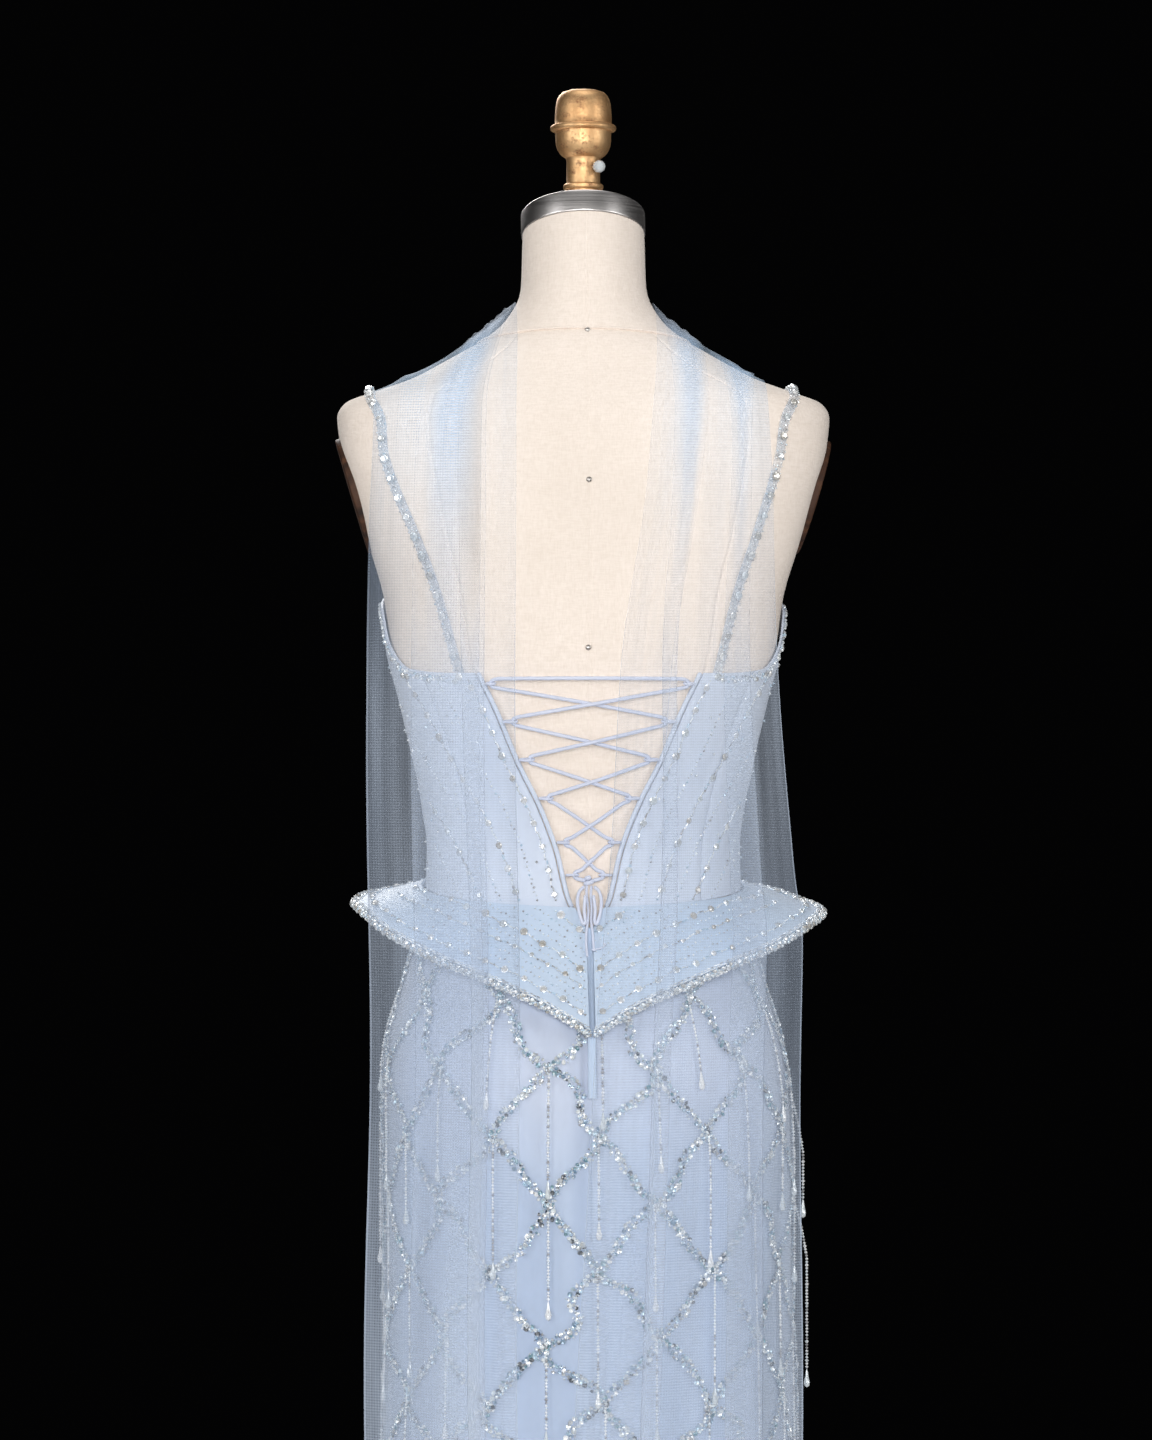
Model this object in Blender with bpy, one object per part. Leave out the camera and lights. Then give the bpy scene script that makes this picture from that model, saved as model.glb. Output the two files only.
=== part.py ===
"""Mermaid evening gown with a lace-up back, on a limbless dress form.

Metres, +Z up.  The gown's front faces -Y, its back +Y, and the wearer's left is +X.  The origin is the
centre of the stand's underside, on the floor.  "turn" is the angle round the body: 0 at centre back,
a quarter turn at the +X side, half a turn at centre front.  Every cloth piece is a closed wall: a grid
of points on the gown's surface, given the cloth's thickness.
"""
import math
from collections import namedtuple

import bmesh
import bpy
from mathutils import Matrix, Vector
from mathutils.bvhtree import BVHTree

# Driving dimensions -----------------------------------------------------------------------------
SEAM_GAP = 0.0003            # between pieces that are sewn together, and between things that touch
EASE = 0.0020                # form to the inside of the gown
BODICE = 0.0022              # boned satin and net
SATIN = 0.0012
NET = 0.0016                 # beaded net, with its beads and hanging strands
PEPLUM = 0.0016
LAYER_EASE = 0.0010          # peplum over the net
WAIST_GAP = 0.0008           # bodice to skirt and peplum, whose edges curve at different points
CUP_EASE = 0.0030            # the cups stand this much further off the form
TULLE = 0.0010
SCARF_EASE = 0.0061          # scarf over the straps' stones

STRAP_WIDTH = 0.0090
STRAP = 0.0016
STRAP_EASE = 0.0024
PIPING_RADIUS = 0.0018
LACE_RADIUS = 0.00175
LOOP_RADIUS = 0.0010
EDGING_RADIUS = 0.0024

FLOOR_GAP = 0.020            # hem to floor
BASE_RADIUS = 0.200
BASE_HEIGHT = 0.016
POLE_RADIUS = 0.016
TORSO_BOTTOM = 0.720

QUARTER = math.pi / 2
BACK_COLUMNS = 8             # columns of a quarter of the skirt

# The form, below the arms: level sections -------------------------------------------------------
Section = namedtuple("Section", "z half_width back front corner")
FORM = [
    Section(0.720, 0.1420, 0.094, 0.089, 0.04),
    Section(0.760, 0.1490, 0.106, 0.095, 0.04),
    Section(0.800, 0.1530, 0.115, 0.101, 0.04),
    Section(0.850, 0.1530, 0.117, 0.104, 0.04),
    Section(0.900, 0.1470, 0.111, 0.103, 0.035),
    Section(0.950, 0.1350, 0.094, 0.099, 0.03),
    Section(0.990, 0.1245, 0.080, 0.093, 0.025),
    Section(1.020, 0.1190, 0.072, 0.088, 0.02),
    Section(1.050, 0.1180, 0.070, 0.086, 0.02),
    Section(1.090, 0.1230, 0.075, 0.088, 0.025),
    Section(1.130, 0.1315, 0.083, 0.094, 0.03),
    Section(1.170, 0.1410, 0.090, 0.103, 0.04),
    Section(1.205, 0.1500, 0.095, 0.104, 0.06),
    Section(1.2436, 0.1550, 0.098, 0.098, 0.09),
    Section(1.285, 0.1665, 0.099, 0.092, 0.12),
]

# The form's shoulders and neck: tilted rings, bottom to top -------------------------------------
Ring = namedtuple("Ring", "place z_back z_side z_front half_width back front corner")
SHOULDERS = [
    Ring(0, 1.2850, 1.2850, 1.2850, 0.1665, 0.0990, 0.0920, 0.12),
    Ring(1, 1.3300, 1.3300, 1.3220, 0.1795, 0.0970, 0.0860, 0.13),
    Ring(2, 1.3620, 1.3600, 1.3450, 0.1885, 0.0925, 0.0800, 0.12),
    Ring(3, 1.3865, 1.3845, 1.3640, 0.1915, 0.0870, 0.0740, 0.10),
    Ring(4, 1.4000, 1.3935, 1.3745, 0.1872, 0.0810, 0.0690, 0.08),
    Ring(5, 1.4100, 1.3992, 1.3835, 0.1700, 0.0760, 0.0650, 0.06),
    Ring(6, 1.4210, 1.4100, 1.3915, 0.1400, 0.0710, 0.0610, 0.04),
    Ring(7, 1.4350, 1.4262, 1.3980, 0.1050, 0.0660, 0.0570, 0.02),
    Ring(8, 1.4450, 1.4380, 1.4040, 0.0750, 0.0610, 0.0530, 0.00),
    Ring(9, 1.4507, 1.4465, 1.4090, 0.0530, 0.0570, 0.0500, 0.00),
    Ring(10, 1.4640, 1.4590, 1.4250, 0.0500, 0.0535, 0.0485, 0.00),
    Ring(11, 1.4950, 1.4880, 1.4650, 0.0485, 0.0485, 0.0480, 0.00),
    Ring(12, 1.5418, 1.5273, 1.5128, 0.0475, 0.0430, 0.0490, 0.00),
]
NECK_SEAM_PLACE = 9

TORSO_SEGMENTS = 36
TORSO_HEIGHTS = [TORSO_BOTTOM, 0.755, 0.80, 0.85, 0.895, 0.935, 0.97, 0.995, 1.018, 1.045, 1.075, 1.11, 1.14,
                 1.168, 1.195, 1.225, 1.255]

# Its arm plates, neck cap, finial and stand ----------------------------------------------------------
PLATE_CENTRE = Vector((0.1772, 0.0, 1.3245))
PLATE_HALF = (0.0380, 0.0460)
PLATE_TILT = math.radians(16.5)
PLATE_PROUD = 0.0036
PLATE_RECESS = 0.0060
PLATE_BEVEL = 0.0016
CAP_HEIGHT = 0.0185
CAP_RADIUS = 0.0485
CAP_BEVEL = 0.0015
Profile = namedtuple("Profile", "radius z")
FINIAL = [                   # above its foot, which is cut to the cap's slope
    Profile(0.0120, 1.5640), Profile(0.0156, 1.5648), Profile(0.0156, 1.5672), Profile(0.0133, 1.5682),
    Profile(0.0133, 1.5875), Profile(0.0165, 1.5900), Profile(0.0200, 1.5945), Profile(0.0217, 1.6010),
    Profile(0.0218, 1.6085), Profile(0.0250, 1.6100), Profile(0.0258, 1.6118), Profile(0.0250, 1.6135),
    Profile(0.0222, 1.6150), Profile(0.0220, 1.6200), Profile(0.0205, 1.6320), Profile(0.0180, 1.6380),
    Profile(0.0120, 1.6410), Profile(0.0040, 1.6416),
]
STEM_RADIUS = 0.0133
KNOB_RADIUS = 0.0050
KNOB_SHANK_RADIUS = 0.0018
KNOB_SHANK = 0.0020
KNOB_Z = 1.5800
KNOB_TURN = math.radians(34)
BASE = [
    Profile(BASE_RADIUS - 0.004, 0.0), Profile(BASE_RADIUS, 0.004), Profile(BASE_RADIUS, 0.010),
    Profile(BASE_RADIUS - 0.006, BASE_HEIGHT), Profile(0.045, BASE_HEIGHT + 0.006),
    Profile(0.030, BASE_HEIGHT + 0.040), Profile(0.024, BASE_HEIGHT + 0.046),
]

# The gown ---------------------------------------------------------------------------------------------
Bust = namedtuple("Bust", "x z reach spread_x spread_z")
BUST = Bust(0.078, 1.190, 0.034, 0.050, 0.052)

# The skirt below the hips: the gown's inside face -----------------------------------------------
SKIRT = [
    Section(FLOOR_GAP, 0.405, 0.450, 0.360, 0.0),
    Section(0.080, 0.352, 0.395, 0.315, 0.0),
    Section(0.160, 0.293, 0.318, 0.262, 0.0),
    Section(0.250, 0.236, 0.245, 0.206, 0.0),
    Section(0.330, 0.200, 0.194, 0.164, 0.01),
    Section(0.400, 0.1800, 0.162, 0.137, 0.02),
    Section(0.470, 0.1690, 0.143, 0.122, 0.03),
    Section(0.560, 0.1610, 0.131, 0.113, 0.04),
    Section(0.680, 0.1600, 0.128, 0.112, 0.04),
    Section(0.800, 0.1605, 0.127, 0.112, 0.04),
    Section(0.850, 0.1590, 0.124, 0.112, 0.04),
    Section(0.900, 0.1530, 0.117, 0.110, 0.035),
    Section(0.960, 0.1360, 0.095, 0.102, 0.03),
]
HIP_TOP = 0.960              # the gown leaves the form between these two heights
HIP_BOTTOM = 0.880
SKIRT_HEIGHTS = [FLOOR_GAP, 0.085, 0.155, 0.235, 0.325, 0.435, 0.620, 0.800, 0.875, 0.945]

Flute = namedtuple("Flute", "count share phase")
FLUTES = [Flute(8, 0.72, 0.0), Flute(5, 0.28, 0.9)]
FLUTE_TOP = 0.46
FLUTE_DEPTH = 0.030

# Edges of the gown, by turn from centre back, in degrees -----------------------------------------
Edge = namedtuple("Edge", "degrees z")
TOP_EDGE = [
    Edge(0, 1.1864), Edge(40, 1.1864), Edge(62, 1.1900), Edge(76, 1.2080), Edge(90, 1.2370),
    Edge(112, 1.2480), Edge(138, 1.2690), Edge(150, 1.2680), Edge(166, 1.2480), Edge(180, 1.2280),
]
WAIST_SEAM = [
    Edge(0, 1.0055), Edge(45, 1.0110), Edge(90, 1.0213), Edge(130, 1.0320), Edge(180, 1.0380),
]
Brim = namedtuple("Brim", "degrees z flare")
PEPLUM_EDGE = [
    Brim(0, 0.9124, 0.0050), Brim(15, 0.9345, 0.0060), Brim(33, 0.9525, 0.0090), Brim(55, 0.9700, 0.0210),
    Brim(75, 0.9880, 0.0440), Brim(90, 0.9990, 0.0560), Brim(110, 1.0050, 0.0560), Brim(130, 1.0120, 0.0470),
    Brim(155, 1.0215, 0.0260), Brim(180, 1.0270, 0.0100),
]
PEPLUM_ROWS = 4
PEPLUM_CURL = 1.35           # above 1, the flare comes late, towards the edge
PEPLUM_LEFT_LESS = 0.14      # the share by which the flare falls short at the left hip
PEPLUM_LEFT_RISE = 0.0055    # how much higher the edge lies at the left hip than at the right

Opening = namedtuple("Opening", "z half")
BACK_OPENING = [
    Opening(0.9905, 0.0035), Opening(1.0132, 0.0137), Opening(1.0512, 0.0228), Opening(1.0816, 0.0340),
    Opening(1.1196, 0.0525), Opening(1.1576, 0.0684), Opening(1.1864, 0.0825), Opening(1.2000, 0.0892),
]
OPENING_BOTTOM = 0.9905
PLACKET_WIDTH = 0.0044
PLACKET_BOTTOM = 0.866

Seam = namedtuple("Seam", "z degrees")
SIDE_BACK_SEAM = [Seam(1.00, 44), Seam(1.10, 48), Seam(1.19, 56)]
SIDE_FRONT_SEAM = [Seam(1.02, 122), Seam(1.10, 119), Seam(1.25, 110)]
PRINCESS_SEAM = [Seam(1.03, 162), Seam(1.10, 155), Seam(1.19, 149), Seam(1.27, 146)]
BODICE_ROWS = 7
BODICE_MIDDLE = 1.10
PIPING_STEPS = 12

# The lacing: rows of loops, top to bottom ----------------------------------------------------------
LoopRow = namedtuple("LoopRow", "z half")
LOOP_ROWS = [
    LoopRow(1.1789, 0.0745), LoopRow(1.1500, 0.0580), LoopRow(1.1211, 0.0453),
    LoopRow(1.0914, 0.0310), LoopRow(1.0572, 0.0185), LoopRow(1.0314, 0.0115),
]
LACE_HEIGHT = 0.0058         # the lace's middle over the form, in its loops
LACE_CROSSING = 0.0024       # up or down from that where two runs cross
LACE_BEND = 0.0036           # half the height of the lace's bend in a loop
KNOT = Vector((0.0, 0.0, 1.0272))
KNOT_SIZE = Vector((0.0042, 0.0032, 0.0040))
KNOT_HEIGHT = 0.0066
LACE_NEAR = 0.0055           # how far inside a loop the bend starts
LACE_TURN = 0.0012           # and how far inside it the bend is nearly done

Hang = namedtuple("Hang", "x drop height")
BOW_RADIUS = 0.0015
BOW = [
    Hang(0.0046, 0.0012, 0.0088), Hang(0.0084, 0.0045, 0.0086), Hang(0.0106, 0.0120, 0.0098),
    Hang(0.0098, 0.0205, 0.0112), Hang(0.0080, 0.0240, 0.0116), Hang(0.0062, 0.0205, 0.0116),
    Hang(0.0056, 0.0120, 0.0108), Hang(0.0048, 0.0060, 0.0108),
]
TAILS = {
    "left": [Hang(0.0019, 0.0008, 0.0070), Hang(0.0020, 0.0100, 0.0066), Hang(0.0019, 0.0200, 0.0060),
             Hang(0.0021, 0.0310, 0.0058)],
    "right": [Hang(0.0019, 0.0008, 0.0070), Hang(0.0019, 0.0090, 0.0068), Hang(0.0020, 0.0190, 0.0062),
              Hang(0.0019, 0.0305, 0.0058)],
}

# The straps, from the back edge over the shoulder to the front edge: way is 1 behind, -1 in front,
# and the right strap lies right_in nearer the middle than the left one ------------------------------
StrapPoint = namedtuple("StrapPoint", "x z way right_in")
STRAP_ROUTE = [
    StrapPoint(0.0960, 1.180, 1, 0.0), StrapPoint(0.1120, 1.238, 1, 0.0028),
    StrapPoint(0.1290, 1.285, 1, 0.0045), StrapPoint(0.1430, 1.318, 1, 0.0080),
    StrapPoint(0.1550, 1.352, 1, 0.0100), StrapPoint(0.1602, 1.386, 1, 0.0070),
    StrapPoint(0.1602, 1.386, -1, 0.0070), StrapPoint(0.1510, 1.358, -1, 0.0060),
    StrapPoint(0.1370, 1.325, -1, 0.0040), StrapPoint(0.1215, 1.296, -1, 0.0020),
    StrapPoint(0.1060, 1.266, -1, 0.0),
]
STRAP_STEPS = 40

# The scarf: it lies across the chest, and its two ends hang down the back over the shoulders -----
ScarfEdge = namedtuple("ScarfEdge", "z inner outer")
SCARF_LEFT = [
    ScarfEdge(0.06, 0.060, 0.205), ScarfEdge(0.30, 0.056, 0.178), ScarfEdge(0.60, 0.056, 0.169),
    ScarfEdge(1.20, 0.057, 0.169), ScarfEdge(1.38, 0.056, 0.165), ScarfEdge(1.47, 0.056, 0.1635),
]
SCARF_RIGHT = [
    ScarfEdge(0.06, -0.028, 0.190), ScarfEdge(0.30, -0.024, 0.166), ScarfEdge(0.61, -0.019, 0.1565),
    ScarfEdge(0.845, -0.002, 0.160), ScarfEdge(0.98, 0.008, 0.1624), ScarfEdge(1.037, 0.013, 0.1558),
    ScarfEdge(1.193, 0.024, 0.1452), ScarfEdge(1.32, 0.042, 0.1401), ScarfEdge(1.47, 0.056, 0.1370),
]
SCARF_NECK_HEIGHT = 1.4700   # its inner edge, at the side of the neck
SCARF_BOTTOM = 0.060
SCARF_PEPLUM = 0.930         # above this height the ends hang taut, from the shoulders to the peplum
SCARF_LIFT = 0.35            # below it, the share of the way to taut that they stand off the skirt
SCARF_COLUMNS = 10
SCARF_ROWS = [0.0, 0.012, 0.028, 0.050, 0.080, 0.12, 0.18, 0.26, 0.34, 0.43, 0.52, 0.61, 0.70, 0.80, 0.90,
              1.0]
Fold = namedtuple("Fold", "across depth width")
SCARF_LEFT_FOLDS = [Fold(0.30, 0.0055, 0.10), Fold(0.62, 0.0045, 0.09)]
SCARF_RIGHT_FOLDS = [Fold(0.45, 0.0045, 0.09), Fold(0.76, 0.0055, 0.08)]
COWL_ROWS = 5
COWL_COLUMNS = 16
COWL_FOLDS = 3
COWL_FOLD_DEPTH = 0.0065
Cowl = namedtuple("Cowl", "left right front")
COWL_TOP = Cowl(10.3, 10.3, 8.7)         # its top edge's ring, at the shoulders and at centre front
COWL_BOTTOM = Cowl(5.3, 6.1, -0.35)      # its lower edge's
RING_BELOW = 0.045           # the height of a ring below the first

# Colours ---------------------------------------------------------------------------------------------
Finish = namedtuple("Finish", "colour roughness metallic")
FINISHES = {
    "linen": Finish((0.80, 0.74, 0.66), 0.85, 0.0),
    "steel": Finish((0.45, 0.44, 0.44), 0.35, 1.0),
    "gilt": Finish((0.62, 0.42, 0.20), 0.38, 0.8),
    "crystal": Finish((0.75, 0.82, 0.86), 0.10, 0.0),
    "wood": Finish((0.10, 0.05, 0.03), 0.45, 0.0),
    "iron": Finish((0.05, 0.05, 0.05), 0.50, 0.6),
    "satin": Finish((0.50, 0.62, 0.82), 0.35, 0.0),
    "net": Finish((0.58, 0.70, 0.84), 0.60, 0.0),
    "tulle": Finish((0.66, 0.77, 0.88), 0.80, 0.0),
    "beading": Finish((0.70, 0.76, 0.80), 0.20, 0.3),
}


def clear_scene():
    for old in list(bpy.data.objects):
        bpy.data.objects.remove(old, do_unlink=True)


def finish(name):
    material = bpy.data.materials.get(name)
    if material is None:
        look = FINISHES[name]
        material = bpy.data.materials.new(name)
        material.use_nodes = True
        shader = material.node_tree.nodes["Principled BSDF"]
        shader.inputs["Base Color"].default_value = (*look.colour, 1.0)
        shader.inputs["Roughness"].default_value = look.roughness
        shader.inputs["Metallic"].default_value = look.metallic
    return material


# Tables and curves -------------------------------------------------------------------------------
def table_slope(keys, values, at):
    """The slope at a row: level at a peak, and never so steep that the curve overshoots a row."""
    last = len(keys) - 1
    before = (values[at] - values[at - 1]) / (keys[at] - keys[at - 1]) if at > 0 else None
    after = (values[at + 1] - values[at]) / (keys[at + 1] - keys[at]) if at < last else None
    if before is None:
        return after
    if after is None:
        return before
    if before * after <= 0:
        return 0.0
    return 2 * before * after / (before + after)


def read_table(rows, key):
    """The row at `key`, a value of the first column, on smooth curves through the table's rows."""
    keys = [row[0] for row in rows]
    key = min(max(key, keys[0]), keys[-1])
    at = 0
    while at < len(keys) - 2 and key > keys[at + 1]:
        at += 1
    span = keys[at + 1] - keys[at]
    t = (key - keys[at]) / span
    found = [key]
    for column in range(1, len(rows[0])):
        values = [row[column] for row in rows]
        start = table_slope(keys, values, at) * span
        end = table_slope(keys, values, at + 1) * span
        low, high = values[at], values[at + 1]
        bend = (2 * t**3 - 3 * t**2 + 1) * low + (t**3 - 2 * t**2 + t) * start
        bend += (3 * t**2 - 2 * t**3) * high + (t**3 - t**2) * end
        found.append(bend)
    return type(rows[0])(*found)


def smooth_step(t):
    t = min(max(t, 0.0), 1.0)
    return t * t * (3 - 2 * t)


def mix(low, high, t):
    return low + (high - low) * t


def smooth_route(points, steps):
    """`steps` + 1 points on a smooth curve through `points`, evenly shared between them."""
    points = [Vector(p) for p in points]
    padded = [2 * points[0] - points[1], *points, 2 * points[-1] - points[-2]]
    route = []
    for step in range(steps + 1):
        place = step / steps * (len(points) - 1)
        at = min(int(place), len(points) - 2)
        t = place - at
        a, b, c, d = padded[at:at + 4]
        route.append(0.5 * (2 * b + (c - a) * t + (2 * a - 5 * b + 4 * c - d) * t**2
                            + (3 * b - a - 3 * c + d) * t**3))
    return route


def even_route(points, steps):
    """`steps` + 1 points at equal distances along a smooth curve through `points`."""
    fine = smooth_route(points, 12 * len(points))
    lengths = [0.0]
    for here, ahead in zip(fine, fine[1:]):
        lengths.append(lengths[-1] + (ahead - here).length)
    route = []
    at = 0
    for step in range(steps + 1):
        target = lengths[-1] * step / steps
        while at < len(fine) - 2 and lengths[at + 1] < target:
            at += 1
        route.append(fine[at].lerp(fine[at + 1], (target - lengths[at]) / (lengths[at + 1] - lengths[at])))
    return route


def degrees_from_back(turn):
    """0 at centre back to 180 at centre front, on either side."""
    return math.degrees(math.acos(min(max(math.cos(turn), -1.0), 1.0)))


# Surfaces ---------------------------------------------------------------------------------------------
def bust_reach(x, z):
    side = math.exp(-((abs(x) - BUST.x) / BUST.spread_x) ** 2)
    return BUST.reach * side * math.exp(-((z - BUST.z) / BUST.spread_z) ** 2)


def outline_point(row, turn):
    """A point of an oval section, deeper or shallower at the back and front, and fuller at its corners."""
    across, along = math.sin(turn), math.cos(turn)
    full = 1 + row.corner * math.sin(2 * turn) ** 2
    depth = row.back if along > 0 else row.front
    return row.half_width * across * full, depth * along * full


def form_point(z, turn):
    """The form's surface at a height below the arms."""
    x, y = outline_point(read_table(FORM, z), turn)
    if y < 0:
        y -= bust_reach(x, z) * min(1.0, -2 * math.cos(turn))
    return Vector((x, y, z))


def shoulder_point(place, turn):
    """The form's surface from the arms to the neck, by ring."""
    row = read_table(SHOULDERS, place)
    x, y = outline_point(row, turn)
    along = math.cos(turn)
    if along > 0:
        z = mix(row.z_side, row.z_back, along)
    else:
        z = mix(row.z_side, row.z_front, -along)
    if y < 0:
        y -= bust_reach(x, z) * min(1.0, -2 * along)
    return Vector((x, y, z))


def moved_out(surface, height, turn, distance):
    """A surface's point moved `distance` out along its normal."""
    step = 0.002
    along = surface(height, turn + step) - surface(height, turn - step)
    up = surface(height + step, turn) - surface(height - step, turn)
    return surface(height, turn) + up.cross(along).normalized() * distance


def flute_depth(z, turn):
    if z >= FLUTE_TOP:
        return 0.0
    grown = ((FLUTE_TOP - z) / (FLUTE_TOP - FLOOR_GAP)) ** 1.5
    wave = sum(flute.share * math.cos(flute.count * turn + flute.phase) for flute in FLUTES)
    return FLUTE_DEPTH * grown * wave


def skirt_point(z, turn):
    x, y = outline_point(read_table(SKIRT, z), turn)
    grow = 1 + flute_depth(z, turn) / math.hypot(x, y)
    return Vector((x * grow, y * grow, z))


def gown_point(z, turn):
    """The inside face of the gown: on the form with its ease, then in the skirt's own hang."""
    if z <= HIP_BOTTOM:
        return skirt_point(z, turn)
    worn = moved_out(form_point, z, turn, EASE)
    if worn.y < 0:
        worn.y -= CUP_EASE * bust_reach(worn.x, z) / BUST.reach
    if z >= HIP_TOP:
        return worn
    return worn.lerp(skirt_point(z, turn), smooth_step((HIP_TOP - z) / (HIP_TOP - HIP_BOTTOM)))


def gown_layer(z, turn, out):
    return moved_out(gown_point, z, turn, out)


def peplum_point(down, turn):
    """The peplum's inside face, from the waist seam (0) to its edge (1)."""
    degrees = degrees_from_back(turn)
    edge = read_table(PEPLUM_EDGE, degrees)
    left = max(0.0, math.sin(turn)) ** 2
    z = mix(read_table(WAIST_SEAM, degrees).z - WAIST_GAP, edge.z + PEPLUM_LEFT_RISE * left, down)
    start = gown_layer(z, turn, SATIN + SEAM_GAP + NET + LAYER_EASE)
    outward = Vector((start.x / 1.4, start.y, 0)).normalized()
    flare = edge.flare * (1 - PEPLUM_LEFT_LESS * left)
    return start + outward * flare * down ** PEPLUM_CURL


def turn_at_x(z, x):
    """The turn, on the +X side of the back, where the gown's surface at height z is `x` from the middle."""
    low, high = 0.0, QUARTER
    for _ in range(24):
        middle = (low + high) / 2
        if gown_point(z, middle).x < x:
            low = middle
        else:
            high = middle
    return low


def turn_of(point):
    """The turn of a point on the form, by its place in the level section through it."""
    row = read_table(FORM, point.z)
    depth = row.back if point.y > 0 else row.front
    return math.atan2(point.x / row.half_width, point.y / depth)


def ridge_height(x):
    """The height of the shoulder's ridge at a distance from the middle."""
    low, high = 3.0, NECK_SEAM_PLACE
    for _ in range(24):
        middle = (low + high) / 2
        if shoulder_point(middle, QUARTER).x > x:
            low = middle
        else:
            high = middle
    return shoulder_point(low, QUARTER).z


def opening_half(z):
    return read_table(BACK_OPENING, z).half


# Meshes ---------------------------------------------------------------------------------------------
def add_object(name, mesh_data, look, sharp_degrees=40):
    mesh = bpy.data.meshes.new(name)
    if mesh_data.calc_volume(signed=True) < 0:
        bmesh.ops.reverse_faces(mesh_data, faces=mesh_data.faces)
    mesh_data.to_mesh(mesh)
    mesh_data.free()
    mesh.shade_smooth()
    mesh.set_sharp_from_angle(angle=math.radians(sharp_degrees))
    mesh.materials.append(finish(look))
    piece = bpy.data.objects.new(name, mesh)
    bpy.context.collection.objects.link(piece)
    return piece


def grid_normals(grid):
    """Unit normals of a grid of points, from each point's neighbours."""
    normals = []
    for r, row in enumerate(grid):
        line = []
        for c in range(len(row)):
            along = row[min(c + 1, len(row) - 1)] - row[max(c - 1, 0)]
            up = grid[min(r + 1, len(grid) - 1)][c] - grid[max(r - 1, 0)][c]
            line.append(up.cross(along).normalized())
        normals.append(line)
    return normals


def wall(name, grid, thickness, look):
    """A closed wall: the grid is its inside face, and its outside face is `thickness` further out."""
    shell = bmesh.new()
    normals = grid_normals(grid)
    inside = [[shell.verts.new(p) for p in row] for row in grid]
    outside = []
    for row, line in zip(grid, normals):
        outside.append([shell.verts.new(p + n * thickness) for p, n in zip(row, line)])
    rows, columns = len(grid), len(grid[0])
    for r in range(rows - 1):
        for c in range(columns - 1):
            shell.faces.new((inside[r][c], inside[r][c + 1], inside[r + 1][c + 1], inside[r + 1][c]))
            shell.faces.new((outside[r][c], outside[r + 1][c], outside[r + 1][c + 1], outside[r][c + 1]))
    rim = [(0, c) for c in range(columns)] + [(r, columns - 1) for r in range(1, rows)]
    rim += [(rows - 1, c) for c in range(columns - 2, -1, -1)] + [(r, 0) for r in range(rows - 2, 0, -1)]
    for (r, c), (s, d) in zip(rim, rim[1:] + rim[:1]):
        shell.faces.new((inside[r][c], outside[r][c], outside[s][d], inside[s][d]))
    bmesh.ops.triangulate(shell, faces=shell.faces)
    return add_object(name, shell, look)


def tube_frames(route):
    """A steady pair of cross directions at each point of a route."""
    frames = []
    side = None
    for at, point in enumerate(route):
        ahead = (route[min(at + 1, len(route) - 1)] - route[max(at - 1, 0)]).normalized()
        if side is None:
            side = ahead.orthogonal().normalized()
        side = (side - ahead * side.dot(ahead)).normalized()
        frames.append((side, ahead.cross(side)))
    return frames


def loft(name, rings, look, sharp_degrees=40):
    """A closed solid through rings of points, with flat ends."""
    shell = bmesh.new()
    made = [[shell.verts.new(p) for p in ring] for ring in rings]
    for low, high in zip(made, made[1:]):
        for at in range(len(low)):
            nxt = (at + 1) % len(low)
            shell.faces.new((low[at], low[nxt], high[nxt], high[at]))
    shell.faces.new(list(reversed(made[0])))
    shell.faces.new(made[-1])
    return add_object(name, shell, look, sharp_degrees)


def tube_rings(route, radius, sides):
    rings = []
    for point, (side, up) in zip(route, tube_frames(route)):
        angles = [2 * math.pi * s / sides for s in range(sides)]
        rings.append([point + side * radius * math.cos(a) + up * radius * math.sin(a) for a in angles])
    return rings


def tube(name, route, radius, look, sides=6):
    return loft(name, tube_rings(route, radius, sides), look)


def cord(name, route, radius, look):
    """A curve with a round section, closed at its ends."""
    curve = bpy.data.curves.new(name, "CURVE")
    curve.dimensions = "3D"
    spline = curve.splines.new("POLY")
    spline.points.add(len(route) - 1)
    for point, place in zip(spline.points, route):
        point.co = (*place, 1.0)
    curve.bevel_depth = radius
    curve.bevel_resolution = 2
    curve.use_fill_caps = True
    curve.materials.append(finish(look))
    piece = bpy.data.objects.new(name, curve)
    bpy.context.collection.objects.link(piece)
    return piece


def turned(name, profile, look, segments=20, centre=(0, 0), sharp_degrees=35):
    """A solid of revolution about a vertical line: profile rows are (radius, z), bottom to top."""
    rings = []
    for radius, z in profile:
        angles = [2 * math.pi * s / segments for s in range(segments)]
        rings.append([Vector((centre[0] + radius * math.cos(a), centre[1] + radius * math.sin(a), z))
                      for a in angles])
    return loft(name, rings, look, sharp_degrees)


# The dress form ----------------------------------------------------------------------------------------
def make_torso():
    rings = []
    angles = [2 * math.pi * s / TORSO_SEGMENTS for s in range(TORSO_SEGMENTS)]
    for z in TORSO_HEIGHTS:
        rings.append([form_point(z, a) for a in angles])
    for place in range(len(SHOULDERS)):
        rings.append([shoulder_point(place, a) for a in angles])
    return loft("form_torso", rings, "linen")


def oval_disc(name, half_y, half_z, low, high, look, segments=24):
    """An oval disc across local X, from low to high, with a bevelled outer rim."""
    rings = []
    for x, shrink in ((low, 0.0), (high - PLATE_BEVEL, 0.0), (high, PLATE_BEVEL)):
        angles = [2 * math.pi * s / segments for s in range(segments)]
        rings.append([Vector((x, (half_y - shrink) * math.cos(a), (half_z - shrink) * math.sin(a)))
                      for a in angles])
    return loft(name, rings, look)


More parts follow.
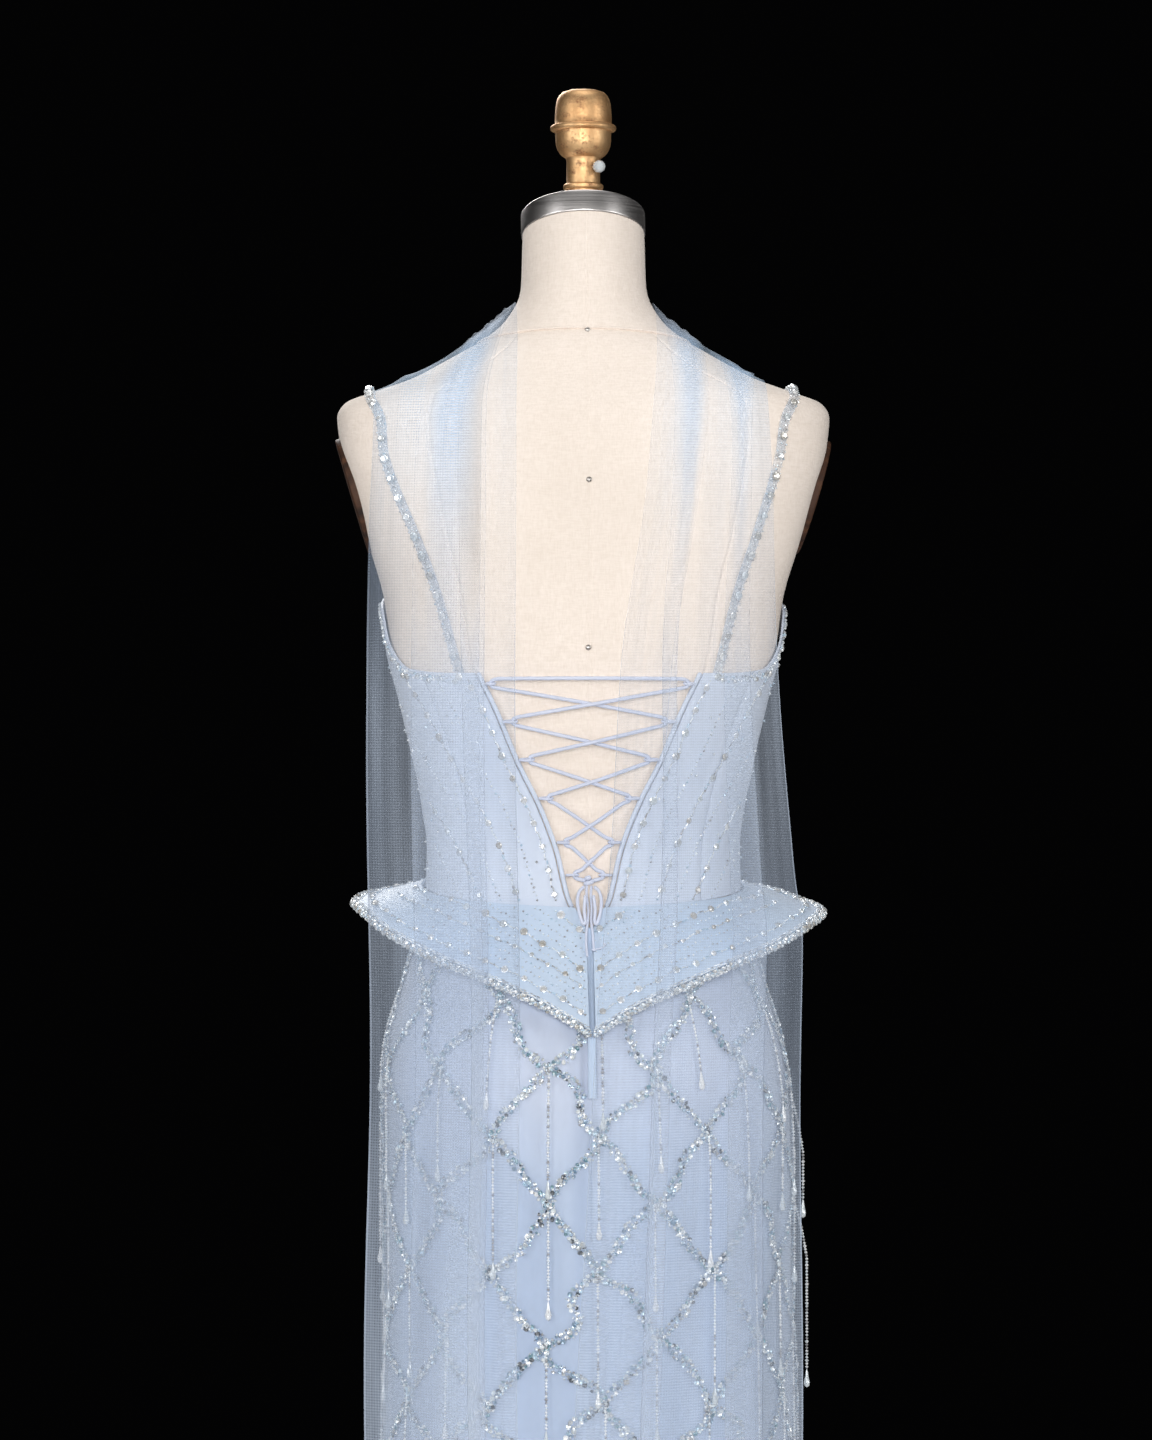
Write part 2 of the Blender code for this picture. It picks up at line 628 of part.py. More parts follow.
def make_arm_plates(torso):
    for name, side in (("left", 1), ("right", -1)):
        place = Matrix.Translation(Vector((side * PLATE_CENTRE.x, 0, PLATE_CENTRE.z)))
        place = place @ Matrix.Rotation(side * PLATE_TILT, 4, "Y")
        if side < 0:
            place = place @ Matrix.Rotation(math.pi, 4, "Z")
        plate = oval_disc("form_arm_plate_" + name, *PLATE_HALF, SEAM_GAP - PLATE_RECESS, PLATE_PROUD, "wood")
        plate.data.transform(place)
        cutter = oval_disc("arm_recess_" + name, PLATE_HALF[0] + SEAM_GAP, PLATE_HALF[1] + SEAM_GAP,
                           -PLATE_RECESS, 0.05, "linen")
        cutter.data.transform(place)
        cutter.hide_render = True
        cutter.display_type = "WIRE"
        cut = torso.modifiers.new("arm_recess_" + name, "BOOLEAN")
        cut.operation = "DIFFERENCE"
        cut.object = cutter


def make_neck():
    """The steel cap on the neck's tilted top, and the gilt finial that stands upright on it."""
    top = SHOULDERS[-1]
    centre = Vector((0, (top.back - top.front) / 2, (top.z_back + top.z_front) / 2))
    tilt = math.atan2(top.z_back - top.z_front, top.back + top.front)
    low, high, inner = SEAM_GAP, CAP_HEIGHT, CAP_RADIUS - CAP_BEVEL
    profile = [(inner, low), (CAP_RADIUS, low + CAP_BEVEL), (CAP_RADIUS, high - CAP_BEVEL), (inner, high)]
    cap = turned("form_neck_cap", profile, "steel", TORSO_SEGMENTS)
    cap.data.transform(Matrix.Translation(centre) @ Matrix.Rotation(tilt, 4, "X"))
    foot = centre.z + (CAP_HEIGHT + SEAM_GAP) / math.cos(tilt)
    profile = [Profile(FINIAL[0].radius, foot), *FINIAL]
    finial = turned("form_finial", profile, "gilt", 20, centre=(0, centre.y))
    for vertex in finial.data.vertices:
        if abs(vertex.co.z - foot) < 1e-6:
            vertex.co.z += (vertex.co.y - centre.y) * math.tan(tilt)
    make_screw_knob(centre.y)


def make_screw_knob(axis_y):
    """The clamp screw's round knob, on the stem's back right."""
    start = STEM_RADIUS + SEAM_GAP
    profile = [(KNOB_SHANK_RADIUS, start), (KNOB_SHANK_RADIUS, start + KNOB_SHANK)]
    for step in range(1, 8):
        angle = math.pi * step / 8
        height = start + KNOB_SHANK + KNOB_RADIUS * (1 - math.cos(angle))
        profile.append((KNOB_RADIUS * math.sin(angle), height))
    knob = turned("form_screw_knob", profile, "crystal", 12)
    turn = Matrix.Rotation(KNOB_TURN, 4, "Z") @ Matrix.Rotation(-QUARTER, 4, "X")
    knob.data.transform(Matrix.Translation((0, axis_y, KNOB_Z)) @ turn)


def make_stand():
    turned("form_base", BASE, "iron", TORSO_SEGMENTS)
    pole = [(POLE_RADIUS, BASE[-1].z + SEAM_GAP), (POLE_RADIUS, TORSO_BOTTOM - SEAM_GAP)]
    turned("form_pole", pole, "steel", 24)


def make_form():
    make_arm_plates(make_torso())
    make_neck()
    make_stand()


# The bodice -----------------------------------------------------------------------------------------
def seam_turn(table, z, side):
    return side * math.radians(read_table(table, z).degrees)


def inset_turn(z, turn, direction, distance=SEAM_GAP / 2):
    """The turn moved along the surface by a distance, towards +turn or -turn."""
    step = 0.002
    run = (gown_point(z, turn + step) - gown_point(z, turn - step)).length / (2 * step)
    return turn + direction * distance / run


def bodice_point(up, turn_at):
    """A point at a share of the way up from the waist seam to the top edge, where turn_at(z) is the turn."""
    z = BODICE_MIDDLE
    for _ in range(4):
        turn = turn_at(z)
        degrees = degrees_from_back(turn)
        z = mix(read_table(WAIST_SEAM, degrees).z, read_table(TOP_EDGE, degrees).z, up)
    return gown_layer(z, turn, 0.0)


def bodice_panel(name, first_edge, last_edge, columns):
    """A panel between two side edges, each a function of height that gives a turn."""
    if first_edge(BODICE_MIDDLE) > last_edge(BODICE_MIDDLE):
        first_edge, last_edge = last_edge, first_edge
    grid = []
    for r in range(BODICE_ROWS + 1):
        row = []
        for c in range(columns + 1):
            row.append(bodice_point(r / BODICE_ROWS, lambda z: mix(first_edge(z), last_edge(z), c / columns)))
        grid.append(row)
    return wall(name, grid, BODICE, "satin")


def make_bodice():
    pipe = 2 * PIPING_RADIUS + 3 * SEAM_GAP
    for name, side in (("left", 1), ("right", -1)):
        def v_edge(z):
            return side * turn_at_x(z, opening_half(z) + pipe)

        def side_back(z, way=0):
            return inset_turn(z, seam_turn(SIDE_BACK_SEAM, z, side), way * side)

        def side_front(z, way=0):
            return inset_turn(z, seam_turn(SIDE_FRONT_SEAM, z, side), way * side)

        def princess(z, way=0):
            return inset_turn(z, seam_turn(PRINCESS_SEAM, z, side), way * side)

        bodice_panel("bodice_back_" + name, v_edge, lambda z: side_back(z, -1), 5)
        bodice_panel("bodice_side_" + name, lambda z: side_back(z, 1), lambda z: side_front(z, -1), 6)
        bodice_panel("bodice_front_" + name, lambda z: side_front(z, 1), lambda z: princess(z, -1), 5)

    def centre_left(z):
        return inset_turn(z, seam_turn(PRINCESS_SEAM, z, 1), 1)

    def centre_right(z):
        return inset_turn(z, 2 * math.pi + seam_turn(PRINCESS_SEAM, z, -1), -1)

    bodice_panel("bodice_front_centre", centre_left, centre_right, 6)


def make_piping():
    low, high = WAIST_SEAM[0].z + 0.0016, TOP_EDGE[0].z - 0.0002
    for name, side in (("left", 1), ("right", -1)):
        route = []
        for step in range(PIPING_STEPS + 1):
            z = mix(low, high, step / PIPING_STEPS)
            turn = turn_at_x(z, opening_half(z) + PIPING_RADIUS)
            route.append(gown_layer(z, side * turn, BODICE / 2))
        tube("back_piping_" + name, route, PIPING_RADIUS, "satin", 5)


# The lacing -----------------------------------------------------------------------------------------
def back_point(x, z, height):
    """A point over the form's back, `height` out from it."""
    turn = turn_at_x(z, abs(x))
    point = gown_layer(z, turn, height - EASE)
    return Vector((math.copysign(point.x, x) if x else 0.0, point.y, point.z))


def make_loops():
    for name, side in (("left", 1), ("right", -1)):
        for number, row in enumerate(LOOP_ROWS, 1):
            bight = LACE_RADIUS + 3 * SEAM_GAP + LOOP_RADIUS
            edge = opening_half(row.z) - 4 * SEAM_GAP
            shape = [(edge, LOOP_RADIUS + SEAM_GAP), (row.half, bight), (row.half - 0.8 * bight, 0.6 * bight),
                     (row.half - bight, 0.0)]
            upper = [(x, LACE_HEIGHT + up) for x, up in shape]
            lower = [(x, LACE_HEIGHT - up) for x, up in reversed(shape[:-1])]
            route = [back_point(side * x, row.z, height) for x, height in upper + lower]
            tube("lace_loop_%s_%d" % (name, number), route, LOOP_RADIUS, "satin", 5)


def lace_run(side, lift):
    """One half of the lace, from the top row down to the knot: it crosses over between rows."""
    route = []
    for at, row in enumerate(LOOP_ROWS):
        if at > 0:
            route.append((side * (row.half - LACE_NEAR), row.z + LACE_BEND, LACE_HEIGHT))
            route.append((side * (row.half - LACE_TURN), row.z + 0.7 * LACE_BEND, LACE_HEIGHT))
        route.append((side * row.half, row.z, LACE_HEIGHT))
        route.append((side * (row.half - LACE_TURN), row.z - 0.7 * LACE_BEND, LACE_HEIGHT))
        if at + 1 < len(LOOP_ROWS):
            below = LOOP_ROWS[at + 1]
            route.append((side * (row.half - LACE_NEAR), row.z - LACE_BEND, LACE_HEIGHT))
            cross_x = side * (row.half - below.half) / 2
            cross_z = (row.z + below.z) / 2
            up = lift if at % 2 else -lift
            route.append((cross_x, cross_z, LACE_HEIGHT + up))
            side = -side
    route.append((side * (KNOT_SIZE.x + 2 * SEAM_GAP), KNOT.z, KNOT_HEIGHT))
    return route


def make_lace():
    first = lace_run(1, LACE_CROSSING)
    second = lace_run(-1, -LACE_CROSSING)
    top = LOOP_ROWS[0]
    near = top.half - LACE_NEAR
    across = [(x, top.z + LACE_BEND, LACE_HEIGHT) for x in (near, near / 3, -near / 3, -near)]
    ends = [(side * (top.half - LACE_TURN), top.z + 0.7 * LACE_BEND, LACE_HEIGHT) for side in (1, -1)]
    route = list(reversed(first)) + [ends[0]] + across + [ends[1]] + second
    points = [back_point(x, z, height) for x, z, height in route]
    tube("lace", points, LACE_RADIUS, "satin", 5)


def hanging(points, side, top):
    """Points that hang below the knot, over the form's back."""
    return [back_point(side * point.x, top - point.drop, point.height) for point in points]


def make_bow():
    knot = bmesh.new()
    bmesh.ops.create_icosphere(knot, subdivisions=2, radius=1.0)
    bmesh.ops.scale(knot, vec=KNOT_SIZE, verts=knot.verts)
    centre = back_point(0.0, KNOT.z, KNOT_HEIGHT)
    bmesh.ops.translate(knot, vec=centre, verts=knot.verts)
    add_object("lace_knot", knot, "satin", 80)
    low = KNOT.z - KNOT_SIZE.z
    for name, side in (("left", 1), ("right", -1)):
        bow = hanging(BOW, side, low)
        tube("lace_bow_" + name, smooth_route(bow, 11), BOW_RADIUS, "satin", 5)
        tail = hanging(TAILS[name], side, low)
        cord("lace_tail_" + name, smooth_route(tail, 8), LACE_RADIUS, "satin")


# The straps -----------------------------------------------------------------------------------------
def make_straps(torso_tree):
    for name, side in (("left", 1), ("right", -1)):
        guide = []
        for row in STRAP_ROUTE:
            x = row.x if side > 0 else row.x - row.right_in
            start = Vector((side * x, row.way, row.z))
            guide.append(torso_tree.ray_cast(start, Vector((0, -row.way, 0)))[0])
        centres, normals = [], []
        for point in even_route(guide, STRAP_STEPS):
            found, normal, _, _ = torso_tree.find_nearest(point)
            centres.append(found)
            normals.append(normal)
        soft = []
        for at in range(len(normals)):
            near = normals[max(at - 1, 0):at + 2]
            soft.append(sum(near, Vector()).normalized())
        rings = []
        for at, (centre, normal) in enumerate(zip(centres, soft)):
            ahead = (centres[min(at + 1, STRAP_STEPS)] - centres[max(at - 1, 0)]).normalized()
            across = ahead.cross(normal).normalized() * STRAP_WIDTH / 2
            low, high = normal * STRAP_EASE, normal * (STRAP_EASE + STRAP)
            rings.append([centre - across + low, centre + across + low, centre + across + high,
                          centre - across + high])
        for ring, other in ((rings[0], rings[1]), (rings[-1], rings[-2])):
            seat_strap_end(ring, other)
        loft("strap_" + name, rings, "satin")


def seat_strap_end(ring, other):
    """Slides a strap's end ring along the strap until it meets the bodice's top edge."""
    for at, corner in enumerate(ring):
        ahead = (other[at] - corner).normalized()
        edge = read_table(TOP_EDGE, degrees_from_back(turn_of(corner))).z + 5 * SEAM_GAP
        ring[at] = corner + ahead * (edge - corner.z) / ahead.z


# Peplum and skirt -----------------------------------------------------------------------------------
def make_peplum():
    middle = PLACKET_WIDTH / 2 + SEAM_GAP
    for name, side in (("left", 1), ("right", -1)):
        back, front = [], []
        for r in range(PEPLUM_ROWS + 1):
            down = r / PEPLUM_ROWS
            z = mix(WAIST_SEAM[0].z, PEPLUM_EDGE[0].z, down)
            half = middle if z < OPENING_BOTTOM else max(middle, opening_half(z))
            first = turn_at_x(z, half)
            inset = SEAM_GAP / 2 / 0.12
            turns = [mix(first, QUARTER - inset, c / BACK_COLUMNS) for c in range(BACK_COLUMNS + 1)]
            back.append([peplum_point(down, side * t) for t in turns])
            turns = [mix(QUARTER + inset, math.pi - inset, c / BACK_COLUMNS) for c in range(BACK_COLUMNS + 1)]
            front.append([peplum_point(down, side * t) for t in turns])
        make_edging(name, side, back, front)
        for grid in (back, front):
            grid.reverse()
            if side < 0:
                for row in grid:
                    row.reverse()
        wall("peplum_back_" + name, back, PEPLUM, "satin")
        wall("peplum_front_" + name, front, PEPLUM, "satin")


def make_edging(name, side, back, front):
    """The beaded cord sewn round the peplum's edge, mitred at centre back and centre front."""
    edge, before = back[-1] + front[-1], back[-2] + front[-2]
    route = []
    for at, (point, inner) in enumerate(zip(edge, before)):
        away = (point - inner).normalized()
        ahead = (edge[min(at + 1, len(edge) - 1)] - edge[max(at - 1, 0)]).normalized()
        up = away.cross(ahead).normalized()
        if up.z < 0:
            up = -up
        route.append(point + away * (EDGING_RADIUS + 2 * SEAM_GAP) + up * PEPLUM / 2)
    del route[len(back[-1])]
    rings = tube_rings(route, EDGING_RADIUS, 6)
    for ring, ahead in ((rings[0], route[1] - route[0]), (rings[-1], route[-1] - route[-2])):
        for corner, point in enumerate(ring):
            ring[corner] = point + ahead * (side * SEAM_GAP / 2 - point.x) / ahead.x
    loft("peplum_edge_" + name, rings, "beading")


def skirt_grid(first, last, columns, out):
    """Rows from the hem to the waist seam; an edge at centre back follows the back opening."""
    grid = []
    for level in range(len(SKIRT_HEIGHTS) + 1):
        row = []
        for c in range(columns + 1):
            share = c / columns
            seam = read_table(WAIST_SEAM, degrees_from_back(mix(first, last, share))).z - WAIST_GAP
            z = seam if level == len(SKIRT_HEIGHTS) else SKIRT_HEIGHTS[level]
            edges = []
            for turn, way in ((first, 1), (last, -1)):
                if turn == 0.0 and z > OPENING_BOTTOM:
                    edges.append(way * turn_at_x(z, opening_half(z)))
                else:
                    edges.append(inset_turn(z, turn, way))
            row.append(gown_layer(z, mix(*edges, share), out))
        grid.append(row)
    return grid


def make_skirt():
    panels = (("_back_left", 0.0, QUARTER, BACK_COLUMNS), ("_front", QUARTER, 3 * QUARTER, 2 * BACK_COLUMNS),
              ("_back_right", -QUARTER, 0.0, BACK_COLUMNS))
    layers = (("skirt", 0.0, SATIN, "satin"), ("net", SATIN + SEAM_GAP, NET, "net"))
    for layer, out, thickness, look in layers:
        for panel, first, last, columns in panels:
            wall(layer + panel, skirt_grid(first, last, columns, out), thickness, look)


def make_placket():
    """The strip that covers the hidden zip, down from the back opening."""
    out = SATIN + SEAM_GAP + NET + SEAM_GAP
    grid = []
    for step in range(9):
        z = mix(PLACKET_BOTTOM, OPENING_BOTTOM, step / 8)
        turn = turn_at_x(z, PLACKET_WIDTH / 2)
        grid.append([gown_layer(z, side * turn, out) for side in (-1, 1)])
    wall("placket", grid, SATIN, "satin")


# The scarf -------------------------------------------------------------------------------------------
def scarf_ridge(across, edges):
    """The scarf's inside face where it crosses the shoulder: a straight line from the neck's side."""
    outer = edges[-1].outer
    x = mix(edges[-1].inner, outer, across)
    return x, mix(SCARF_NECK_HEIGHT, ridge_height(outer) + SCARF_EASE, across)


def taut_line(points):
    """The straight runs down a profile of (z, y) points, top to bottom, that pass behind all of them."""
    line = []
    for z, y in points:
        while len(line) > 1:
            (z1, y1), (z2, y2) = line[-2:]
            if (y2 - y1) * (z1 - z) > (y - y1) * (z1 - z2):
                break
            line.pop()
        line.append((z, y))
    return line


def read_line(line, z):
    """A (z, y) line's y at a height."""
    at = 0
    while at < len(line) - 2 and z < line[at + 1][0]:
        at += 1
    (z1, y1), (z2, y2) = line[at], line[at + 1]
    return mix(y1, y2, (z1 - z) / (z1 - z2))


def hanging_line(profile):
    """Taut down to the peplum; below it, between a plumb fall and taut, on what stands out further."""
    plumb = []
    for z, y in profile:
        plumb.append((z, max(y, plumb[-1][1]) if plumb else y))
    upper = [point for point in plumb if point[0] >= SCARF_PEPLUM]
    lower = plumb[len(upper) - 1:]
    upper_taut, lower_taut = taut_line(upper), taut_line(lower)
    line = [(z, read_line(upper_taut, z)) for z, _ in upper]
    line += [(z, mix(y, read_line(lower_taut, z), SCARF_LIFT)) for z, y in lower[1:]]
    return line


def scarf_column(tree, edges, across, side):
    """One line down a back panel, from the shoulder to its end, on all that is under it."""
    top = scarf_ridge(across, edges)[1] - SCARF_EASE
    profile = [(top, 0.0)]
    samples = 150
    for step in range(1, samples + 1):
        z = mix(top, SCARF_BOTTOM, (step / samples) ** 1.6)
        found, _, _, _ = tree.ray_cast(Vector((side * scarf_x(edges, z, across), 1.0, z)), Vector((0, -1, 0)))
        reach = max(found.y, 0.0) if found else 0.0
        profile.append((z, reach))
    return hanging_line(profile)


def scarf_x(edges, z, across):
    """A panel's place across, which settles from the shoulder's to the edge table's."""
    ridge_x, ridge_z = scarf_ridge(across, edges)
    row = read_table(edges, z)
    return mix(ridge_x, mix(row.inner, row.outer, across), smooth_step((ridge_z - z) / 0.10))


def point_along(line, share):
    """A point at a share of a (z, y) line's length."""
    lengths = [0.0]
    for (z1, y1), (z2, y2) in zip(line, line[1:]):
        lengths.append(lengths[-1] + math.hypot(z2 - z1, y2 - y1))
    target = share * lengths[-1]
    at = 0
    while at < len(line) - 2 and lengths[at + 1] < target:
        at += 1
    t = (target - lengths[at]) / (lengths[at + 1] - lengths[at])
    (z1, y1), (z2, y2) = line[at], line[at + 1]
    return mix(z1, z2, t), mix(y1, y2, t)


def scarf_panel(name, tree, edges, folds, side):
    columns = []
    for c in range(SCARF_COLUMNS + 1):
        across = c / SCARF_COLUMNS
        line = scarf_column(tree, edges, across, side)
        column = []
        for share in SCARF_ROWS:
            z, y = point_along(line, share)
            ahead_z, ahead_y = point_along(line, min(share + 0.01, 1.0))
            before_z, before_y = point_along(line, max(share - 0.01, 0.0))
            slope = math.atan2(ahead_y - before_y, before_z - ahead_z)
            slope = mix(QUARTER, slope, smooth_step(share / 0.03))
            ripple = sum(f.depth * math.exp(-((across - f.across) / f.width) ** 2) for f in folds)
            out = SCARF_EASE + ripple * smooth_step(share / 0.10)
            column.append(Vector((side * scarf_x(edges, z, across), y + out * math.cos(slope) + SEAM_GAP / 2,
                                  z + out * math.sin(slope))))
        columns.append(column)
    grid = []
    for r in range(len(SCARF_ROWS)):
        row = [column[r] for column in columns]
        grid.append(row if side > 0 else row[::-1])
    grid.reverse()
    return wall(name, grid, TULLE, "tulle")


def cowl_point(across, turn):
    """The scarf's inside face in front: soft folds down the chest, gathered up at the shoulders."""
    drop = math.sin(turn - QUARTER) ** 1.2
    fold = 0.5 - 0.5 * math.cos(2 * math.pi * COWL_FOLDS * across)
    out = SCARF_EASE + COWL_FOLD_DEPTH * fold * drop
    side, edges = (1, SCARF_LEFT) if turn < 2 * QUARTER else (-1, SCARF_RIGHT)
    shoulder = mix(COWL_TOP.left, COWL_BOTTOM.left if side > 0 else COWL_BOTTOM.right, across)
    place = mix(shoulder, mix(COWL_TOP.front, COWL_BOTTOM.front, across), drop)
    if place >= 0:
        point = moved_out(shoulder_point, place, turn, out)
    else:
        point = moved_out(form_point, SHOULDERS[0].z_side + place * RING_BELOW, turn, out)
    ridge_x, ridge_z = scarf_ridge(across, edges)
    return point.lerp(Vector((side * ridge_x, -SEAM_GAP / 2, ridge_z)), smooth_step(1 - 2.2 * drop))


def make_scarf_front():
    grid = []
    for r in range(COWL_ROWS + 1):
        turns = [mix(QUARTER, 3 * QUARTER, c / COWL_COLUMNS) for c in range(COWL_COLUMNS + 1)]
        grid.append([cowl_point(1 - r / COWL_ROWS, turn) for turn in turns])
    return wall("scarf_front", grid, TULLE, "tulle")


def joined_tree(names):
    """One search tree over the named objects' meshes."""
    vertices, faces = [], []
    for name in names:
        mesh = bpy.data.objects[name].data
        start = len(vertices)
        vertices += [v.co.copy() for v in mesh.vertices]
        faces += [[start + i for i in polygon.vertices] for polygon in mesh.polygons]
    return BVHTree.FromPolygons(vertices, faces)


def make_scarf():
    under = ["form_torso", "bodice_back_left", "bodice_back_right", "bodice_side_left", "bodice_side_right",
             "strap_left", "strap_right", "lace", "lace_bow_left", "lace_bow_right", "peplum_back_left",
             "peplum_back_right", "peplum_edge_left", "peplum_edge_right", "net_back_left",
             "net_back_right", "net_front"]
    under += ["lace_loop_%s_%d" % (name, n) for name in ("left", "right") for n in range(1, 7)]
    tree = joined_tree(under)
    scarf_panel("scarf_left", tree, SCARF_LEFT, SCARF_LEFT_FOLDS, 1)
    scarf_panel("scarf_right", tree, SCARF_RIGHT, SCARF_RIGHT_FOLDS, -1)
    make_scarf_front()


def main():
    clear_scene()
    make_form()
    make_bodice()
    make_piping()
    make_loops()
    make_lace()
    make_bow()
    make_straps(joined_tree(["form_torso"]))
    make_peplum()
    make_skirt()
    make_placket()
    make_scarf()


main()
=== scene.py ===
"""Looks of the mermaid evening gown on its dress form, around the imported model.

Metres, +Z up.  The gown's laced back faces +Y, its front -Y, and the wearer's left is +X.  "turn" is the
angle round the body: 0 at centre back, a quarter turn at +X, half a turn at centre front.  The surface
tables and functions are the part's own, so each piece lies where its solid lies.
"""
import math
from collections import namedtuple

import bpy
import numpy as np
from mathutils import Matrix, Vector
from mathutils.bvhtree import BVHTree


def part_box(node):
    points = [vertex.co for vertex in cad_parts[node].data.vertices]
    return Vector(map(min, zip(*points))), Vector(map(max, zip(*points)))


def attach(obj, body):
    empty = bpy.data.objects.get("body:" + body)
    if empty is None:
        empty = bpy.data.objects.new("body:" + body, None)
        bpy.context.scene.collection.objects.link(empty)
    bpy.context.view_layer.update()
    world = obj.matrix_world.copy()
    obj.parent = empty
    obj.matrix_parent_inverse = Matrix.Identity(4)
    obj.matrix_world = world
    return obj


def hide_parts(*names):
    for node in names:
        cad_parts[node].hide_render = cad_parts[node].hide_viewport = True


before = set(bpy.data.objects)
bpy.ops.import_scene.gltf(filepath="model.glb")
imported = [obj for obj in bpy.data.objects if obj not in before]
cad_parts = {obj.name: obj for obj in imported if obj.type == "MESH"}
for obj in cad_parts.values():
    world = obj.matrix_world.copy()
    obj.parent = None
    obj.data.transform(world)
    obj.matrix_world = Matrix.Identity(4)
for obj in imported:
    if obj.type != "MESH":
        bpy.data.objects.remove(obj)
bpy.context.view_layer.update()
SIDES = (("left", 1), ("right", -1))
RANDOM = np.random.default_rng(7)
QUARTER = math.pi / 2

# Sizes that the part's source sets ---
SEAM_GAP, EASE, BODICE, SATIN, NET, PEPLUM = 0.0003, 0.0020, 0.0022, 0.0012, 0.0016, 0.0016
LAYER_EASE, WAIST_GAP, CUP_EASE, SCARF_EASE = 0.0010, 0.0008, 0.0030, 0.0045
STRAP_WIDTH, STRAP_EASE = 0.0090, 0.0024
PIPING_RADIUS, LACE_RADIUS, LOOP_RADIUS, EDGING_RADIUS = 0.0018, 0.00175, 0.0010, 0.0024
FLOOR_GAP, TORSO_BOTTOM = 0.020, 0.720
HIP_TOP, HIP_BOTTOM = 0.960, 0.880
FLUTE_TOP, FLUTE_DEPTH = 0.46, 0.030
FLUTES = ((8, 0.72, 0.0), (5, 0.28, 0.9))                  # count, share, phase
NECK_SEAM_PLACE = 9
ARM_HEIGHT, RING_STEP = 1.285, 0.045        # where the shoulder's rings begin, and the height one counts for
SKIRT_RADIUS, BODICE_RADIUS = 0.145, 0.12   # the gown's usual distance from its axis
BUST_X, BUST_Z, BUST_REACH, BUST_SPREAD_X, BUST_SPREAD_Z = 0.078, 1.190, 0.034, 0.050, 0.052
OPENING_BOTTOM, PLACKET_WIDTH, PLACKET_BOTTOM = 0.9905, 0.0044, 0.866
PEPLUM_CURL, PEPLUM_LEFT_LESS, PEPLUM_LEFT_RISE = 1.35, 0.14, 0.0055

# z, half width, depth at the back, depth at the front, fullness of the corners
FORM_ROWS = (
    (0.720, 0.1420, 0.094, 0.089, 0.04), (0.760, 0.1490, 0.106, 0.095, 0.04),
    (0.800, 0.1530, 0.115, 0.101, 0.04), (0.850, 0.1530, 0.117, 0.104, 0.04),
    (0.900, 0.1470, 0.111, 0.103, 0.035), (0.950, 0.1350, 0.094, 0.099, 0.03),
    (0.990, 0.1245, 0.080, 0.093, 0.025), (1.020, 0.1190, 0.072, 0.088, 0.02),
    (1.050, 0.1180, 0.070, 0.086, 0.02), (1.090, 0.1230, 0.075, 0.088, 0.025),
    (1.130, 0.1315, 0.083, 0.094, 0.03), (1.170, 0.1410, 0.090, 0.103, 0.04),
    (1.205, 0.1500, 0.095, 0.104, 0.06), (1.2436, 0.1550, 0.098, 0.098, 0.09),
    (1.285, 0.1665, 0.099, 0.092, 0.12),
)
LEFT_HIP_LESS = 0.045                       # the share by which the left hip is narrower
SKIRT_ROWS = (
    (FLOOR_GAP, 0.405, 0.450, 0.360, 0.0), (0.080, 0.352, 0.395, 0.315, 0.0),
    (0.160, 0.293, 0.318, 0.262, 0.0), (0.250, 0.236, 0.245, 0.206, 0.0),
    (0.330, 0.200, 0.194, 0.164, 0.01), (0.400, 0.1800, 0.162, 0.137, 0.02),
    (0.470, 0.1690, 0.143, 0.122, 0.03), (0.560, 0.1610, 0.131, 0.113, 0.04),
    (0.680, 0.1600, 0.128, 0.112, 0.04), (0.800, 0.1605, 0.127, 0.112, 0.04),
    (0.850, 0.1590, 0.124, 0.112, 0.04), (0.900, 0.1530, 0.117, 0.110, 0.035),
    (0.960, 0.1360, 0.095, 0.102, 0.03),
)
# ring, heights at the back, side and front, half width, depths at the back and front, corners
SHOULDER_ROWS = (
    (0, 1.2850, 1.2850, 1.2850, 0.1665, 0.0990, 0.0920, 0.12),
    (1, 1.3300, 1.3300, 1.3220, 0.1795, 0.0970, 0.0860, 0.13),
    (2, 1.3620, 1.3600, 1.3450, 0.1885, 0.0925, 0.0800, 0.12),
    (3, 1.3865, 1.3845, 1.3640, 0.1915, 0.0870, 0.0740, 0.10),
    (4, 1.4000, 1.3935, 1.3745, 0.1872, 0.0810, 0.0690, 0.08),
    (5, 1.4100, 1.3992, 1.3835, 0.1700, 0.0760, 0.0650, 0.06),
    (6, 1.4210, 1.4100, 1.3915, 0.1400, 0.0710, 0.0610, 0.04),
    (7, 1.4350, 1.4270, 1.3980, 0.1090, 0.0660, 0.0570, 0.02),
    (8, 1.4450, 1.4335, 1.4040, 0.0960, 0.0610, 0.0530, 0.00),
    (9, 1.4507, 1.4405, 1.4090, 0.0830, 0.0570, 0.0500, 0.00),
    (10, 1.4640, 1.4600, 1.4250, 0.0605, 0.0535, 0.0485, 0.00),
    (11, 1.4950, 1.4850, 1.4650, 0.0490, 0.0485, 0.0480, 0.00),
    (12, 1.5418, 1.5273, 1.5128, 0.0475, 0.0430, 0.0490, 0.00),
)
# degrees from centre back, height
TOP_EDGE_ROWS = ((0, 1.1864), (40, 1.1864), (62, 1.1900), (76, 1.2080), (90, 1.2370), (112, 1.2480),
                 (138, 1.2690), (150, 1.2680), (166, 1.2480), (180, 1.2280))
WAIST_ROWS = ((0, 1.0055), (45, 1.0110), (90, 1.0213), (130, 1.0320), (180, 1.0380))
